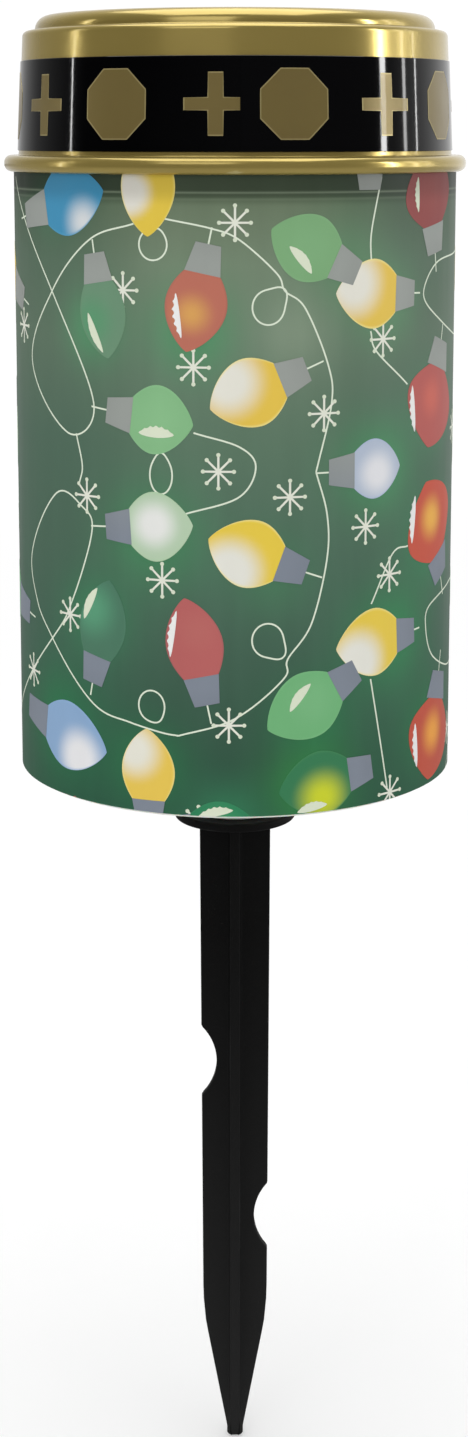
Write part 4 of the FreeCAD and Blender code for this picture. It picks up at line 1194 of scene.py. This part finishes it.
# %% Fourteen windows
WINDOWS, FIRST_WINDOW, WINDOW_STEP = 14, 14.7, 26.2  # how many, and degrees
faces_of_windows, lines_of_windows = [], []
for number in range(WINDOWS):
    turn = FIRST_WINDOW + WINDOW_STEP * number
    turn = turn - 360 if turn > 180 else turn
    kind = "cross" if number % 2 else "octagon"
    face_part, line_part = window_sheets(turn, kind, cut=number == WINDOWS - 1)
    faces_of_windows.append(face_part)
    lines_of_windows.append(line_part)
for name, parts, finish in (("band_windows", faces_of_windows, window_gold),
                            ("band_window_lines", lines_of_windows, window_edge)):
    points, faces = joined(parts)[:2]
    sheet = finish_mesh(name, points, faces)
    sheet.data.materials.append(finish)
    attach(sheet, "lid")

# %% [markdown]
# ## Parts carried over
# The rest of the lantern keeps its drawn shape, because each is already what it should be: a board,
# a screw, a wire. Every one of them gets a finish of its own, and none is moved.

# %% Finishes for the carried-over parts
CARRIED = {
    "lid_gasket": silicone_ring, "panel_bezel": tray_black, "panel_board": tray_screen,
    "solar_cells": solar_silicon, "panel_resin": clear_resin, "inner_cover": tray_black,
    "cover_screws": nickel_steel, "board_screws": nickel_steel, "circuit_board": tray_screen,
    "led_lamp": lamp_epoxy, "led_lens": clear_lens, "switch_body": tray_black,
    "driver_chip": chip_epoxy, "choke_coil": choke_green, "battery_cell": nickel_steel,
    "battery_jacket": battery_wrap, "plus_contact": nickel_steel, "minus_contact": nickel_steel,
    "battery_spring": nickel_steel, "panel_wire_red": red_wire, "panel_wire_black": black_wire,
    "battery_wire_red": red_wire, "battery_wire_black": black_wire, "switch_slider": switch_white,
    "battery_door": tray_black}
for node, finish in CARRIED.items():
    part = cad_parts[node]
    part.data.materials.clear()
    part.data.materials.append(finish)
print("carried over:", len(CARRIED), "parts")

# %% [markdown]
# ## Floor, light and camera
# The floor is a wide pale disc. Far from the lantern it turns by degrees into the same white as the
# surround, so no horizon crosses the picture. Reflections see another room: floor and surround are
# dark in front and dim on the left, so that the gold reads as bronze and the foil as black. The light
# is plain: a large soft panel overhead, a wide one in front, and tall narrow ones at the sides, which
# show only in reflections and draw the upright streaks on the gold.

# %% Floor
# How bright the room in front and the room on the left are in a reflection; behind is 1.
FRONT_DIM, LEFT_DIM = 0.08, 0.3
WHITE_LEVEL = 1.02  # a little over 1, so the white stays white
GREY_BASE = (0.35, 0.35, 0.35, 1)  # the floor's colour in reflections


def pale_floor():
    """Rings of a disc, each radius 1.35 times the last, flat at the height of the stake's tip."""
    radius = np.concatenate([[0.0], 40 * 1.35 ** np.arange(20)])[:, None]
    a = np.linspace(0, 2 * np.pi, 96, endpoint=False)
    grid = np.stack([radius * np.sin(a), -radius * np.cos(a), 0 * radius + 0 * a], -1)
    return grid.reshape(-1, 3), grid_faces(*grid.shape[:2], wrap_columns=True)


def floor_finish():
    """Pale and matt near the lantern, with some light of its own; only light 1.3 m away and beyond."""
    material, tree, shader = new_material("pale_floor")
    place = add(tree, "TexCoord").outputs["Object"]
    far = plug(tree, add(tree, "VectorMath", operation="LENGTH"), in0=place)
    away = spread(tree, far.outputs["Value"], 0.1, 1.3, 0.3, 1.0)
    fleck = add(tree, "TexNoise", Vector=place, Scale=30.0, Detail=4.0).outputs[0]
    mirrored = add(tree, "LightPath").outputs["Is Glossy Ray"]
    pale = mixed(tree, fleck, (0.93, 0.93, 0.93, 1), (0.9, 0.9, 0.9, 1))
    pale = mixed(tree, mirrored, pale, GREY_BASE)
    side, depth = add(tree, "SeparateXYZ", Vector=place).outputs[:2]
    behind = spread(tree, depth, -0.8, 1.6, FRONT_DIM, 1.0)
    behind = sums(tree, "MULTIPLY", behind, spread(tree, side, -1.6, 0.4, LEFT_DIM, 1.0))
    tone = sums(tree, "MULTIPLY", away, between(tree, mirrored, 1.0, behind))
    lit = add(tree, "CombineXYZ", X=tone, Y=tone, Z=tone).outputs[0]
    fill(tree, shader, Base_Color=mixed(tree, away, pale, (0, 0, 0, 1)), Emission_Color=lit,
         Emission_Strength=WHITE_LEVEL, Roughness=0.9, Specular_IOR_Level=0.1)
    return material


points, faces = pale_floor()
floor = finish_mesh("pale_floor", points, faces)
if floor.data.polygons[0].normal.z < 0:
    floor.data.flip_normals()
floor.data.materials.append(floor_finish())

# %% Surround
LIT_LEVEL = 0.5  # what it lights the scene with
world = bpy.data.worlds.new("studio_surround")
world.use_nodes = True
bpy.context.scene.world = world
tree = world.node_tree
surround = tree.nodes["Background"]
surround.inputs["Color"].default_value = (1, 1, 1, 1)
rays = add(tree, "LightPath").outputs
side, depth = add(tree, "SeparateXYZ", Vector=add(tree, "TexCoord").outputs["Generated"]).outputs[:2]
backdrop = sums(tree, "MULTIPLY", spread(tree, depth, -0.1, 0.75, FRONT_DIM, 1.0),
                spread(tree, side, -0.8, 0.1, LEFT_DIM, 1.0))
unseen = between(tree, rays["Is Glossy Ray"], LIT_LEVEL, backdrop)
fill(tree, surround, Strength=between(tree, rays["Is Camera Ray"], unseen, WHITE_LEVEL))
print("surround:", len(tree.nodes), "nodes")

# %% Soft lights
AIM = 0.19  # metres above the ground, at the middle of the cup
STRIP_AT, STRIP_UP, STRIP_TALL = 1.2, 0.42, 0.8


def soft_light(name, around, distance, height, size, strength, reflected_only=False):
    """A panel of even brightness: its power is brightness x pi x its area. It faces the lantern.

    Around is in degrees from the front, growing to the right, and the rest is in metres.
    """
    a = radians(around)
    data = bpy.data.lights.new(name, "AREA")
    data.shape = "RECTANGLE"
    data.size, data.size_y = size
    data.energy = strength * np.pi * size[0] * size[1]
    lamp = bpy.data.objects.new(name, data)
    lamp.location = (distance * np.sin(a), -distance * np.cos(a), height)
    drop = np.arctan2(height - AIM, distance)
    lamp.rotation_euler = (np.pi / 2 - drop, 0, a)
    lamp.visible_camera = False
    lamp.visible_diffuse = not reflected_only
    bpy.context.scene.collection.objects.link(lamp)
    print(name, "at", around, "degrees")


soft_light("overhead", 0, 0.0001, 1.7, (1.7, 1.7), 2.6)
soft_light("front_wide", -20, 1.7, 1.2, (1.2, 0.9), 1.4)
for name, around, width, strength in (("right_strip", 82, 0.08, 22.0), ("right_blue", 98, 0.05, 9.0),
                                      ("right_thin", 108, 0.015, 18.0), ("left_thin", -93, 0.018, 20.0)):
    soft_light(name, around, STRIP_AT, STRIP_UP, (width, STRIP_TALL), strength, reflected_only=True)
bpy.context.scene.view_settings.view_transform = "Standard"

# %% Camera
# It stands in front, a little below the lid's top, and looks down by 9 degrees. The lens is shifted
# rather than tilted further, so that upright lines stay nearly upright.
lens = bpy.data.cameras.new("camera")
lens.lens, lens.sensor_width = 56.94, 36.0
lens.shift_x, lens.shift_y = -0.0007, -0.1586
lens.clip_start = 0.01
camera = bpy.data.objects.new("camera", lens)
camera.location = (0.0, -0.4168, 0.2555)
camera.rotation_euler = (radians(81), 0, 0)
bpy.context.scene.collection.objects.link(camera)
bpy.context.scene.camera = camera
print("camera at", [round(value, 3) for value in camera.location], "with a lens of", round(lens.lens), "mm")
